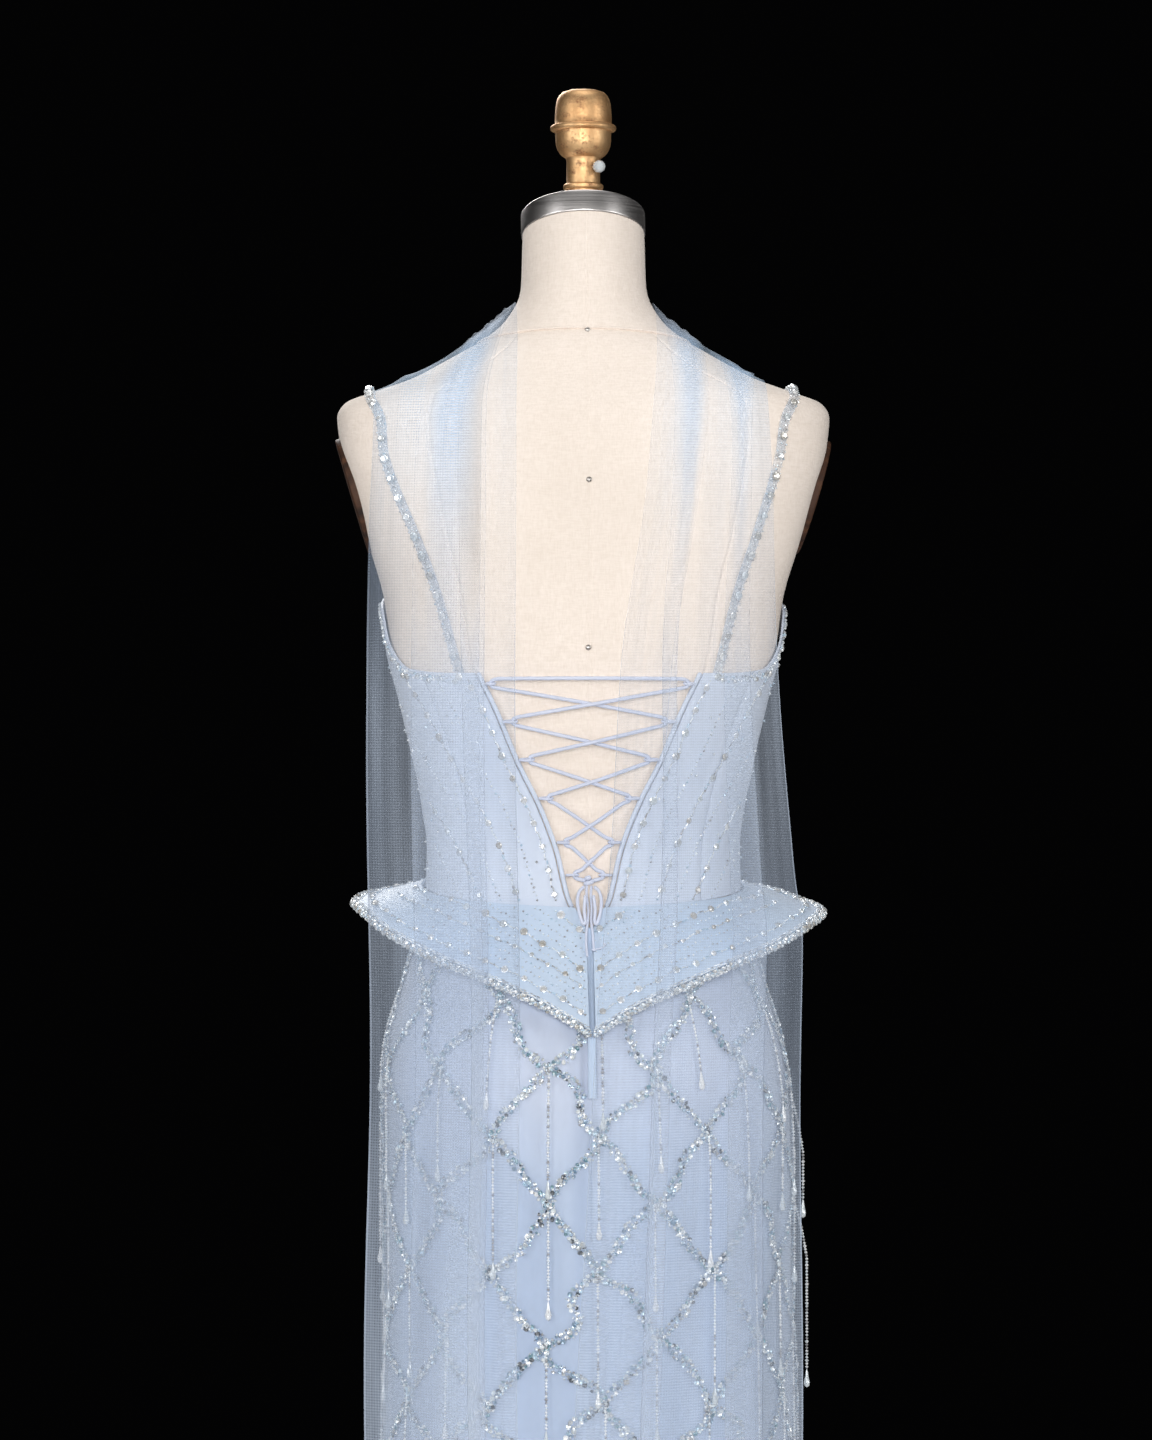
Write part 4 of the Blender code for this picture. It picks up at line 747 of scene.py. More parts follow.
def make_tulle(name, width, density, folds, bunches=()):
    """Silk tulle `width` metres across: density rows are (place across, cover) and folds are places
    across, crisp low down and soft above.  Bunches are (place, width, cover) gathered at the shoulder."""
    look = Look(name, Roughness=0.7, Sheen_Weight=0.2, Sheen_Roughness=0.35, Specular_IOR_Level=0.25)
    where = look.node("ShaderNodeSeparateXYZ", {"Vector": look.place(kind="UV")}, "X")
    height = look.node("ShaderNodeSeparateXYZ", {"Vector": look.place()}, "Z")
    high = look.ease(height, CRISP_BELOW, SOFT_ABOVE)
    rows, posts = look.threads(0.0021, "Y", distortion=0.25), look.threads(0.0017, "X", distortion=0.25)
    mesh = look.plus(look.times(rows, 0.6), look.times(posts, 0.4))
    share = look.math("DIVIDE", where, width)
    cover = look.node("ShaderNodeFloatCurve", {"Value": share})
    curve = cover.node.mapping.curves[0]
    for at, (place, value) in enumerate(density):
        if at < 2:
            curve.points[at].location = (place, value)
        else:
            curve.points.new(place, value)
    cover.node.mapping.update()
    streaks = look.noise(1.0, (120, 5, 1), detail=2.0, kind="UV")
    wide_streaks = look.noise(1.0, (34, 2.2, 1), detail=2.0, kind="UV")
    for factor in (look.spread(streaks, 0.3, 0.7, 0.78, 1.22), look.spread(wide_streaks, 0.3, 0.7, 0.72, 1.28),
                   look.spread(high, 0.0, 1.0, 1.0, SHEER_ABOVE),
                   look.spread(look.ease(height, 0.90, 0.76), 0.0, 1.0, 1.0, DENSER_BELOW)):
        cover = look.times(cover, factor)
    bunched = look.times(look.ease(height, 1.22, 1.40),
                        look.spread(look.ease(height, 1.43, 1.455), 0.0, 1.0, 1.0, 0.35))
    for place, spread, more in bunches:
        away = look.math("ABSOLUTE", look.minus(share, place))
        near = look.ease(away, spread, 0.0)
        cover = look.plus(cover, look.times(look.times(near, bunched), more))
    cover = look.times(cover, look.spread(mesh, 0.0, 1.0, 0.70, 1.30))
    line = 0.0
    for place in folds:
        away = look.math("ABSOLUTE", look.minus(where, place * width))
        soft = look.most(look.ease(away, 0.0, 0.020), look.minus(1.0, high))
        cover = look.times(cover, soft)
        line = look.most(look.ease(away, 0.0013, 0.0003), line)
    for place in (0.0, width):
        away = look.math("ABSOLUTE", look.minus(where, place))
        line = look.most(look.ease(away, 0.0016, 0.0006), line)
    cover = look.plus(cover, look.times(line, look.spread(high, 0.0, 1.0, 0.36, 0.06)))
    cloud = look.noise(9.0, (1, 1, 0.3), detail=2.0)
    look.set(Alpha=look.plus(cover, look.times(look.facing(0.25), 0.16)),
             Base_Color=look.blend(bunched, look.blend(look.spread(cloud, 0.35, 0.65), srgb(167, 180, 199),
                                                       srgb(181, 192, 208)), srgb(164, 193, 222)))
    return look.bump((mesh, 0.00005)).material


def make_beads(name, stops, roughness, metallic, alpha=1.0, coat=0.6):
    """Beads, each with its own colour from the stops."""
    look = Look(name, Coat_Weight=coat, Coat_Roughness=0.06, IOR=1.55)
    pick = look.each()
    tone = look.noise(500.0, detail=1.0)
    colour = look.steps(pick, stops, "CONSTANT")
    look.set(Base_Color=look.blend(look.spread(tone, 0.3, 0.7, 0.0, 0.25), colour, (1.0, 1.0, 1.0, 1.0)),
             Metallic=look.spread(pick, 0.0, 1.0, metallic, metallic * 0.6),
             Roughness=look.spread(look.math("FRACT", look.times(pick, 17.0)), 0.0, 1.0,
                                   roughness, roughness + 0.14), Alpha=alpha)
    return look.material


LINEN, GILT, WOOD, IRON = make_linen(), make_gilt(), make_wood(), make_iron()
STEEL = make_steel("brushed_steel", srgb(238, 234, 232), 0.30)
POLE_STEEL = make_steel("pole_steel", srgb(160, 160, 162), 0.22)
PIN = make_steel("pin_steel", srgb(176, 172, 168), 0.3)
BODICE_SATIN = make_satin("bodice_satin", srgb(210, 218, 232), srgb(198, 209, 228), 0.46, 0.0012)
# The skirt satin's last colour is painted shade, reached towards the bottom of the skirt.
SKIRT_SATIN = make_satin("skirt_satin", srgb(202, 210, 228), srgb(186, 198, 221), 0.40, 0.0016,
                        srgb(176, 193, 218))
PEPLUM_SATIN = make_satin("peplum_satin", srgb(194, 209, 227), srgb(180, 198, 221), 0.48, 0.0006)
TRIM_SATIN = make_satin("trim_satin", srgb(216, 221, 236), srgb(196, 204, 226), 0.46)
PLACKET_SATIN = make_satin("placket_satin", srgb(188, 204, 226), srgb(174, 193, 218), 0.46)
TAPE = make_sheer("strap_tape", srgb(214, 226, 240), srgb(224, 233, 243), 0.0010, 0.24, 0.08, 0.03)
NET_LOOK = make_sheer("beaded_net", srgb(198, 212, 230), srgb(214, 224, 238), 0.0011, 0.09, 0.04, 0.02)
TULLE_WIDTH = {"left": 0.252, "right": 0.335, "front": 0.300}
TULLE_LEFT = make_tulle("tulle_left", TULLE_WIDTH["left"],
                        ((0.0, 0.40), (0.11, 0.36), (0.15, 0.22), (0.30, 0.20), (0.40, 0.24), (0.49, 0.20),
                         (0.60, 0.26), (0.69, 0.23), (0.80, 0.22), (1.0, 0.24)),
                        (0.30, 0.49, 0.69, 0.76),
                        ((0.60, 0.13, 0.22), (0.40, 0.10, 0.08), (0.11, 0.10, 0.14)))
TULLE_RIGHT = make_tulle("tulle_right", TULLE_WIDTH["right"],
                         ((0.0, 0.32), (0.09, 0.30), (0.14, 0.26), (0.24, 0.24), (0.40, 0.22), (0.56, 0.20),
                          (0.66, 0.22), (0.80, 0.22), (1.0, 0.22)),
                         (0.20, 0.30, 0.56, 0.70),
                         ((0.08, 0.12, 0.12), (0.34, 0.12, 0.14), (0.62, 0.10, 0.16), (0.82, 0.14, 0.14)))
TULLE_FRONT = make_tulle("tulle_front", TULLE_WIDTH["front"],
                         ((0.0, 0.26), (0.25, 0.22), (0.50, 0.25), (0.75, 0.22), (1.0, 0.26)), ())
SILVER, CLEAR, WHITE = srgb(206, 212, 216), srgb(228, 236, 240), srgb(248, 250, 251)
GREY, PEARL = srgb(158, 158, 160), srgb(188, 185, 178)
STEEL_BLUE, TEAL, DARK, ICE = srgb(120, 152, 178), srgb(92, 142, 158), srgb(44, 58, 72), srgb(178, 206, 224)
SEQUINS = make_beads("sequins", [(0.0, SILVER), (0.22, CLEAR), (0.42, ICE), (0.58, STEEL_BLUE), (0.75, TEAL),
                                 (0.86, WHITE), (0.91, DARK)], 0.16, 0.40)
SEEDS = make_beads("seed_beads", [(0.0, CLEAR), (0.34, SILVER), (0.58, GREY), (0.76, ICE), (0.90, WHITE)],
                   0.20, 0.30, coat=0.3)
STRAND_BEADS = make_beads("strand_beads", [(0.0, WHITE), (0.50, CLEAR), (0.78, GREY)], 0.18, 0.15, coat=0.4)
STONES = make_beads("rhinestones", [(0.0, WHITE), (0.38, CLEAR), (0.62, SILVER), (0.80, PEARL)], 0.06, 0.50)
DROPS = make_beads("crystal_drops", [(0.0, CLEAR), (0.6, WHITE)], 0.04, 0.10, 0.75)


# Camera, lights and floor ---
CAMERA_TURN = math.radians(3.0)          # the camera stands this far round from straight behind
CAMERA_REACH, CAMERA_HEIGHT, CAMERA_SHIFT = 3.2, 1.150, 0.00584
FRAME_HEIGHT = 1.1232                    # what the picture's height spans at the origin


WHITE_LIGHT, WARM_LIGHT = (1.0, 1.0, 1.0), (1.0, 0.99, 0.975)
LIGHTS = (                               # name, place, what it points at, width and height, watts, tint
    ("key", (0.25, 3.4, 1.5), (0.0, 0.0, 1.15), (1.9, 1.5), 76.0, WARM_LIGHT),
    ("fill_left", (2.4, 1.7, 1.8), (0.0, 0.0, 1.2), (0.8, 1.8), 28.0, WHITE_LIGHT),
    ("fill_right", (-2.4, 1.7, 1.8), (0.0, 0.0, 1.2), (0.8, 1.8), 28.0, WHITE_LIGHT),
    ("front", (0.6, -2.8, 3.0), (0.0, 0.0, 1.1), (1.5, 1.5), 72.0, WHITE_LIGHT),
    ("top", (0.0, 0.15, 3.4), (0.0, 0.0, 1.2), (1.4, 1.4), 15.0, WHITE_LIGHT),
)


def make_camera():
    camera = bpy.data.cameras.new("camera")
    camera.sensor_fit = "VERTICAL"
    camera.sensor_height = 36.0
    camera.lens = camera.sensor_height * CAMERA_REACH / FRAME_HEIGHT
    holder = bpy.data.objects.new("camera", camera)
    across = Vector((math.cos(CAMERA_TURN), -math.sin(CAMERA_TURN), 0.0))
    away = Vector((math.sin(CAMERA_TURN), math.cos(CAMERA_TURN), 0.0))
    holder.location = away * CAMERA_REACH + across * CAMERA_SHIFT + Vector((0, 0, CAMERA_HEIGHT))
    holder.rotation_euler = (math.pi / 2, 0.0, math.pi - CAMERA_TURN)
    bpy.context.scene.collection.objects.link(holder)
    bpy.context.scene.camera = holder


def add_light(name, location, target, size, power, tint):
    light = bpy.data.lights.new(name, "AREA")
    light.shape = "RECTANGLE"
    light.size, light.size_y = size
    light.energy = power
    light.color = tint
    holder = bpy.data.objects.new(name, light)
    holder.location = location
    holder.rotation_euler = (Vector(target) - Vector(location)).to_track_quat("-Z", "Y").to_euler()
    bpy.context.scene.collection.objects.link(holder)


def make_studio():
    world = bpy.data.worlds.new("studio")
    world.use_nodes = True
    background = world.node_tree.nodes["Background"]
    background.inputs["Color"].default_value = (0.0010, 0.0010, 0.0011, 1.0)
    bpy.context.scene.world = world
    bpy.context.scene.view_settings.view_transform = "Standard"
    for row in LIGHTS:
        add_light(*row)
    make_floor()


def make_floor():
    look = Look("floor", Roughness=0.9)
    look.set(Base_Color=look.blend(look.spread(look.noise(3.0, detail=3.0), 0.3, 0.7),
                                   srgb(214, 212, 210), srgb(206, 204, 202)))
    angles = circle(96)
    radii = np.array([0.001, 0.6, 1.4, 2.2])[:, None]
    points = np.stack([radii * np.cos(angles), radii * np.sin(angles), np.full((4, 96), -0.0005)], -1)
    mesh = bpy.data.meshes.new("floor")
    mesh.from_pydata(points.reshape(-1, 3).tolist(), [], grid_faces(4, 96, 0, True)[:, ::-1].tolist())
    mesh.materials.append(look.material)
    floor = bpy.data.objects.new("floor", mesh)
    bpy.context.scene.collection.objects.link(floor)


# The dress form ---
FORM_SEAMS = (0.0, 0.62, QUARTER, math.pi - 0.62, math.pi, math.pi + 0.62, 3 * QUARTER, 2 * math.pi - 0.62)
PIN_PLACES = ((1.4490, 0.0), (1.3320, 0.001), (1.2050, 0.0015))     # height, x at the back
PIN_PROFILE = ((0.0022, -0.001), (0.0022, 0.0004), (0.0017, 0.0011), (0.0009, 0.0015), (0.0003, 0.0016))
GROOVE_DEPTH, GROOVE_WIDTH = 0.0006, 0.0007               # of a seam in the linen
LIP_HEIGHT, LIP_WIDTH, LIP_AWAY = 0.0003, 0.0012, 0.0022  # of the cloth's soft rise beside it
NECK_COVER_LIFT = 0.0009                                  # of the second layer above the neck's seam


def form_turns():
    """Turns for the form's columns: even, and close together at its seams."""
    turns = list(circle(150))
    near = (-0.018, -0.010, -0.005, 0.0, 0.005, 0.010, 0.018)
    for seam in FORM_SEAMS:
        turns = [t for t in turns if abs((t - seam + math.pi) % (2 * math.pi) - math.pi) > 0.021]
        turns += [(seam + step) % (2 * math.pi) for step in near]
    return np.array(sorted(turns))


def form_surface(height, turn):
    """The form by one height: metres up to ARM_HEIGHT, and RING_STEP for each ring above it."""
    below = form_point(np.minimum(height, ARM_HEIGHT), turn)
    above = shoulder_point(np.clip((height - ARM_HEIGHT) / RING_STEP, 0, None), turn)
    return np.where((height <= ARM_HEIGHT)[..., None], below, above)


def make_torso():
    turns = form_turns()
    near_seam = np.array([-0.05, -0.025, -0.012, 0.012, 0.025, 0.05])
    neck_seam = ARM_HEIGHT + RING_STEP * (NECK_SEAM_PLACE + near_seam)
    upper = ARM_HEIGHT + RING_STEP * np.linspace(0, 12, 61)
    heights = np.sort(np.concatenate([np.linspace(TORSO_BOTTOM, ARM_HEIGHT, 61)[:-1], upper, neck_seam]))
    height, turn = np.meshgrid(heights, turns, indexing="ij")
    point, _, _, out = frame_at(form_surface, height, turn)
    radius = np.hypot(point[..., 0], point[..., 1])
    groove = np.zeros_like(height)
    neck = (height - ARM_HEIGHT) / RING_STEP - NECK_SEAM_PLACE
    for seam in FORM_SEAMS:
        away = np.abs((turn - seam + math.pi) % (2 * math.pi) - math.pi) * radius
        depth = 0.5 if seam in (0.0, math.pi) else smooth_step(-neck / 2)
        lip = LIP_HEIGHT * np.exp(-((away - LIP_AWAY) / LIP_WIDTH) ** 2)
        groove += depth * (GROOVE_DEPTH * np.exp(-(away / GROOVE_WIDTH) ** 2) - lip)
    groove -= NECK_COVER_LIFT * smooth_step(neck / 0.05 + 0.5) * smooth_step((2.2 - neck) / 1.5)
    grid = point - out * groove[..., None]
    points = grid.reshape(-1, 3)
    rows, columns = grid.shape[:2]
    ends = [np.arange(columns)[None], np.arange(columns)[None, ::-1] + (rows - 1) * columns]
    torso = add_mesh("form_cover", points, [grid_faces(rows, columns, 0, True)[:, ::-1], *ends], LINEN)
    torso.data.set_sharp_from_angle(angle=math.radians(60))
    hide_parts("form_torso")
    around = np.linspace(0, 2 * math.pi, 161)
    welt = moved_out(shoulder_point, np.full(161, float(NECK_SEAM_PLACE)), around, 0.0007)
    tube_mesh("form_neck_welt", welt, 0.0011, LINEN, 8)


def bead_ring(name, centre, axis, profile, look, segments):
    """A small turned piece along any axis: profile rows are (radius, distance)."""
    axis = Vector(axis).normalized()
    side = axis.orthogonal().normalized()
    up = axis.cross(side)
    angles = circle(segments)
    points = []
    for radius, reach in profile:
        for a in angles:
            around = side * radius * math.cos(a) + up * radius * math.sin(a)
            points.append(Vector(centre) + axis * reach + around)
    return add_mesh(name, points, barrel_faces(len(profile), segments), look, False)


def make_pins():
    """Pin heads on the linen at centre back."""
    tree = BVHTree.FromObject(bpy.data.objects["form_cover"], bpy.context.evaluated_depsgraph_get())
    for number, (height, x) in enumerate(PIN_PLACES, 1):
        if height < ARM_HEIGHT:
            centre = back_point(x, height, 0.0)
        else:
            centre = tree.ray_cast(Vector((x, 1.0, height)), Vector((0, -1, 0)))[0]
        bead_ring("form_pin_%d" % number, centre, (0, 1, 0.05), PIN_PROFILE, PIN, 20)


FINIAL_PROFILE = (                       # radius, z: a turned wooden finial, above its foot
    (0.0120, 1.5545), (0.0120, 1.5638), (0.0150, 1.5640), (0.0156, 1.5648), (0.0157, 1.5660), (0.0156, 1.5672),
    (0.0148, 1.5680), (0.0134, 1.5684), (0.0131, 1.5700), (0.0131, 1.5860), (0.0138, 1.5884), (0.0165, 1.5902),
    (0.0186, 1.5922), (0.0201, 1.5948), (0.0212, 1.5980), (0.0217, 1.6015), (0.0218, 1.6080), (0.0220, 1.6090),
    (0.0246, 1.6096), (0.0254, 1.6104), (0.0258, 1.6117), (0.0254, 1.6131), (0.0246, 1.6139), (0.0224, 1.6146),
    (0.0221, 1.6155), (0.0222, 1.6200), (0.0219, 1.6250), (0.0214, 1.6300), (0.0205, 1.6340), (0.0190, 1.6370),
    (0.0165, 1.6395), (0.0120, 1.6410), (0.0060, 1.6415), (0.0010, 1.6416),
)


KNOB_TURN, KNOB_Z, KNOB_RADIUS, KNOB_REACH = math.radians(34), 1.5800, 0.0050, 0.0204
SHANK_PROFILE = ((0.0018, 0.0130), (0.0018, 0.0162))


def make_finial():
    low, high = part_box("form_finial")
    axis = (0.0, (low[1] + high[1]) / 2)
    finial = turned("form_finial_turned", FINIAL_PROFILE, GILT, 72, axis)
    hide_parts("form_finial")
    knob_axis = Vector((-math.sin(KNOB_TURN), math.cos(KNOB_TURN), 0.0))
    centre = Vector((*axis, KNOB_Z))
    bead_ring("form_screw_shank", centre, knob_axis, SHANK_PROFILE, PIN, 16)
    angles = np.linspace(0.30, math.pi - 0.2, 7)
    profile = [(KNOB_RADIUS * math.sin(a), KNOB_REACH - KNOB_RADIUS * math.cos(a)) for a in angles]
    knob = bead_ring("form_screw_ball", centre, knob_axis, profile, DROPS, 10)
    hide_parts("form_screw_knob")


CAP_HEIGHT, CAP_RADIUS, CAP_BEVEL = 0.0185, 0.0485, 0.0015
PLATE_X, PLATE_Z, PLATE_TILT = 0.1772, 1.3245, math.radians(16.5)
PLATE_HALF, PLATE_LOW, PLATE_PROUD, PLATE_BEVEL = (0.0380, 0.0460), -0.0057, 0.0036, 0.0016


def rounded_rim(radius, low, high, bevel):
    """A disc's profile, (radius, height) rows with a rounded rim, from its low face to its high one."""
    angles = np.linspace(0, QUARTER, 7)
    lower = [(radius - bevel * (1 - math.sin(a)), low + bevel * (1 - math.cos(a))) for a in angles]
    upper = [(radius - bevel * (1 - math.cos(a)), high - bevel * (1 - math.sin(a))) for a in angles]
    return lower + upper


def make_neck_cap():
    """The steel cap on the neck's tilted top."""
    _, back_z, _, front_z, _, back, front, _ = SHOULDER_ROWS[-1]
    tilt = math.atan2(back_z - front_z, back + front)
    profile = rounded_rim(CAP_RADIUS, SEAM_GAP, CAP_HEIGHT, CAP_BEVEL)
    cap = turned("form_neck_cap_brushed", profile, STEEL, 120)
    cap.data.transform(Matrix.Translation((0, (back - front) / 2, (back_z + front_z) / 2))
                       @ Matrix.Rotation(tilt, 4, "X"))
    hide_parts("form_neck_cap")


def make_arm_plates():
    """Oval wooden plates let into the form where its arms would start."""
    for name, side in SIDES:
        profile = rounded_rim(1.0, PLATE_LOW, PLATE_PROUD, PLATE_BEVEL)
        plate = turned("form_arm_plate_turned_" + name, profile, WOOD, 96)
        shape = np.empty(len(plate.data.vertices) * 3, np.float32)
        plate.data.vertices.foreach_get("co", shape)
        shape = shape.reshape(-1, 3)
        short = 1 - np.hypot(shape[:, 0], shape[:, 1])
        around = np.arctan2(shape[:, 1], shape[:, 0])
        shape[:, 0] = (PLATE_HALF[0] - short) * np.cos(around)
        shape[:, 1] = (PLATE_HALF[1] - short) * np.sin(around)
        plate.data.vertices.foreach_set("co", shape.ravel())
        place = Matrix.Translation((side * PLATE_X, 0, PLATE_Z))
        place = place @ Matrix.Rotation(side * PLATE_TILT, 4, "Y")
        if side < 0:
            place = place @ Matrix.Rotation(math.pi, 4, "Z")
        lay = Matrix(((0, 0, 1, 0), (1, 0, 0, 0), (0, 1, 0, 0), (0, 0, 0, 1)))
        plate.data.transform(place @ lay)
        plate.data.update()
        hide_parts("form_arm_plate_" + name)


def dress_nodes():
    """The form's plain CAD pieces keep their shapes and take finished materials."""
    looks = {"form_pole": POLE_STEEL, "form_base": IRON}
    for name, look in looks.items():
        piece = bpy.data.objects[name]
        for place in piece.material_slots:
            place.material = look


# Cloth ---
def declare_sheet(grid):
    """Works out the width and length of the rectangle that a cloth piece is cut from, and keeps neither."""
    width, length = distances(grid, 1)[:, -1].max(), distances(grid)[-1].max()


Crease = namedtuple("Crease", "z degrees length lean depth width")
SKIRT_CREASES = [Crease(*row) for row in (
    (0.835, 1.6, 0.250, 1, -0.0032, 0.0070), (0.885, 8, 0.150, 6, 0.0024, 0.0080),
    (0.900, 15, 0.120, -9, -0.0016, 0.0070),
    (0.800, -2, 0.260, -4, -0.0035, 0.0100), (0.740, 6, 0.340, 5, 0.0045, 0.0130),
    (0.860, 22, 0.110, 28, -0.0018, 0.0090), (0.690, 20, 0.300, -7, -0.0040, 0.0140),
    (0.770, -17, 0.280, 8, 0.0036, 0.0150), (0.640, -24, 0.260, 3, -0.0038, 0.0130),
    (0.850, -34, 0.120, -26, -0.0018, 0.0100), (0.600, 38, 0.320, 4, 0.0040, 0.0170),
    (0.700, 55, 0.260, -5, -0.0030, 0.0150), (0.620, -47, 0.330, -6, 0.0044, 0.0160),
    (0.730, -66, 0.240, 6, -0.0032, 0.0140), (0.560, 74, 0.300, 2, 0.0036, 0.0180),
    (0.660, 92, 0.330, -4, -0.0034, 0.0150), (0.590, -88, 0.300, 5, 0.0038, 0.0170),
    (0.760, 118, 0.230, 9, -0.0026, 0.0130), (0.640, -112, 0.310, -3, -0.0036, 0.0150),
    (0.880, 142, 0.120, -22, -0.0016, 0.0090), (0.610, 137, 0.300, 4, 0.0040, 0.0160),
    (0.700, 161, 0.270, -6, -0.0032, 0.0140), (0.740, -138, 0.250, 7, 0.0030, 0.0140),
    (0.600, -158, 0.320, -4, -0.0036, 0.0160), (0.830, 178, 0.180, 3, 0.0022, 0.0110),
    (0.520, 4, 0.240, 6, -0.0045, 0.0180), (0.470, -30, 0.260, -5, -0.0040, 0.0190),
    (0.450, 60, 0.240, 3, 0.0040, 0.0200), (0.430, -74, 0.260, 4, -0.0042, 0.0200),
    (0.460, 108, 0.250, -5, 0.0038, 0.0200), (0.440, 152, 0.260, 4, -0.0042, 0.0200),
    (0.450, -124, 0.250, -4, 0.0040, 0.0200), (0.430, -172, 0.240, 5, 0.0036, 0.0190),
)]
BODICE_CREASES = [Crease(*row) for row in (
    (1.045, 24, 0.060, 38, -0.0007, 0.0060), (1.062, 33, 0.070, -34, 0.0006, 0.0060),
    (1.100, 40, 0.090, 22, -0.0006, 0.0070), (1.050, -27, 0.065, -36, -0.0007, 0.0060),
    (1.078, -38, 0.080, 30, 0.0007, 0.0065), (1.120, -46, 0.085, -20, -0.0006, 0.0070),
    (1.060, 66, 0.070, 44, -0.0007, 0.0065), (1.090, 84, 0.080, -40, 0.0006, 0.0070),
    (1.062, -70, 0.070, -44, -0.0007, 0.0065), (1.100, -88, 0.090, 38, 0.0006, 0.0070),
    (1.070, 112, 0.070, 30, -0.0006, 0.0060), (1.066, -109, 0.075, -32, -0.0006, 0.0060),
    (1.085, 146, 0.080, 26, -0.0006, 0.0065), (1.080, -149, 0.080, -26, -0.0006, 0.0065),
    (1.070, 172, 0.070, 14, 0.0005, 0.0060), (1.098, -174, 0.080, -16, -0.0005, 0.0060),
)]


def crease_field(z, turn, rows, radius):
    """How far soft ridges (above 0) and troughs (below 0) move the cloth out."""
    total = np.zeros(np.broadcast(z, turn).shape)
    for row in rows:
        run = (z - row.z) / (row.length / 2)
        waver = 0.25 * row.width * np.sin(2.3 * run + row.degrees)
        away = ((turn - math.radians(row.degrees) + math.pi) % (2 * math.pi) - math.pi) * radius
        away = away - (z - row.z) * math.tan(math.radians(row.lean)) + waver
        total += row.depth * np.exp(-(away / row.width) ** 2) * np.clip(1 - run**2, 0, None) ** 2
    return total


def gown_frames(z, turn, out, creases, radius=SKIRT_RADIUS):
    """Points over the gown's inside face with its creases, and their directions along, up and out."""
    point, along, up, away = frame_at(gown_point, z, turn)
    rise = np.asarray(out) + crease_field(z, turn, creases, radius)
    return point + away * np.broadcast_to(rise, z.shape)[..., None], along, up, away


# Skirt and net ---
SKIRT_PANELS = (("back_left", 0.0, QUARTER, 60), ("front", QUARTER, 3 * QUARTER, 120),
                ("back_right", -QUARTER, 0.0, 60))
SKIRT_LEVELS = 124
NET_LIFT = SATIN + 0.0011


def skirt_places(first, last, columns):
    """Heights and turns from the hem up to the waist seam; centre back follows the back opening."""
    level = np.linspace(0, 1, SKIRT_LEVELS)[:, None]
    edge_z = mix(FLOOR_GAP, waist_seam(0.0) - WAIST_GAP, level[:, 0])
    edges = []
    for turn, way in ((first, 1), (last, -1)):
        edge = np.full(SKIRT_LEVELS, turn + way * SEAM_GAP)
        if turn == 0.0:
            opened = way * turn_at_x(edge_z, opening_half(edge_z))
            edge = np.where(edge_z > OPENING_BOTTOM, opened, edge)
        edges.append(edge[:, None])
    turn = mix(*edges, np.linspace(0, 1, columns + 1)[None])
    return mix(FLOOR_GAP, waist_seam(degrees_from_back(turn)) - WAIST_GAP, level), turn


def make_skirt():
    for name, first, last, columns in SKIRT_PANELS:
        z, turn = skirt_places(first, last, columns)
        grid = gown_frames(z, turn, 0.0, SKIRT_CREASES)[0]
        satin = shell("skirt_satin_" + name, grid, SATIN, SKIRT_SATIN)
        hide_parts("skirt_" + name)
        declare_sheet(grid)
        grid = gown_frames(z, turn, NET_LIFT, SKIRT_CREASES)[0]
        net = sheet_mesh("net_sheer_" + name, grid, NET_LOOK)
        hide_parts("net_" + name)
        declare_sheet(grid)


KINDS = {                                # the shape, look and slot of each kind of bead
    "sequins": (sequin_shape, SEQUINS, "beading"), "seeds": (grain_shape, SEEDS, "beading"),
    "bugles": (bugle_shape, SEEDS, "beading"), "edge_bugles": (bugle_shape, STRAND_BEADS, "beading"),
    "strands": (grain_shape, STRAND_BEADS, "beading"), "stones": (stone_shape, STONES, "crystal"),
    "drops": (drop_shape, DROPS, "crystal"),
}


def sew(piece, kind, places, smooth=False):
    """All the beads of one kind on a piece, joined in one mesh."""
    shape, look, slot = KINDS[kind]
    scattered(piece, shape(), joined_places(*places), look, smooth)


CELLS = 12
LATTICE_TOP, LATTICE_TURN, LATTICE_STEP, LATTICE_END = 0.9886, math.radians(12.7), 0.0505, 0.050
BAND_HALF = 0.0033
BEAD_LIFT = NET_LIFT + 0.0009
# rows of beads: how far apart, how large, how far off the cloth and off the line, and how uneven
LATTICE_SEQUINS = dict(every=0.0036, size=0.0017, spin=None, tilt=0.38, vary=0.30)
LATTICE_SEEDS = dict(every=0.0014, size=0.00105, lift=0.0005, side=(-BAND_HALF * 1.25, BAND_HALF * 1.25),
                     spin=None, tilt=0.3, vary=0.3)
LATTICE_STONE = dict(every=1.0, size=0.0023, lift=0.0004, side=BAND_HALF * 0.8, vary=0.25)
STONE_SHARE = 0.30                       # of the bands that hold a stone


def lattice_rows():
    """The lattice's nodes, row by row from the waist to the hem, as arrays of height and turn."""
    rows, z = [], LATTICE_TOP
    while z > LATTICE_END:
        offset = LATTICE_TURN + (math.pi / CELLS if len(rows) % 2 else 0.0)
        turns = offset + np.arange(CELLS) * 2 * math.pi / CELLS + RANDOM.normal(0, 0.018, CELLS)
        half_width, back, front, _ = read_skirt(z)
        step = max(LATTICE_STEP, 0.62 * math.pi * (half_width + (back + front) / 2) / CELLS)
        rows.append((z + RANDOM.normal(0, 0.045 * step, CELLS), turns))
        z -= step
    return rows


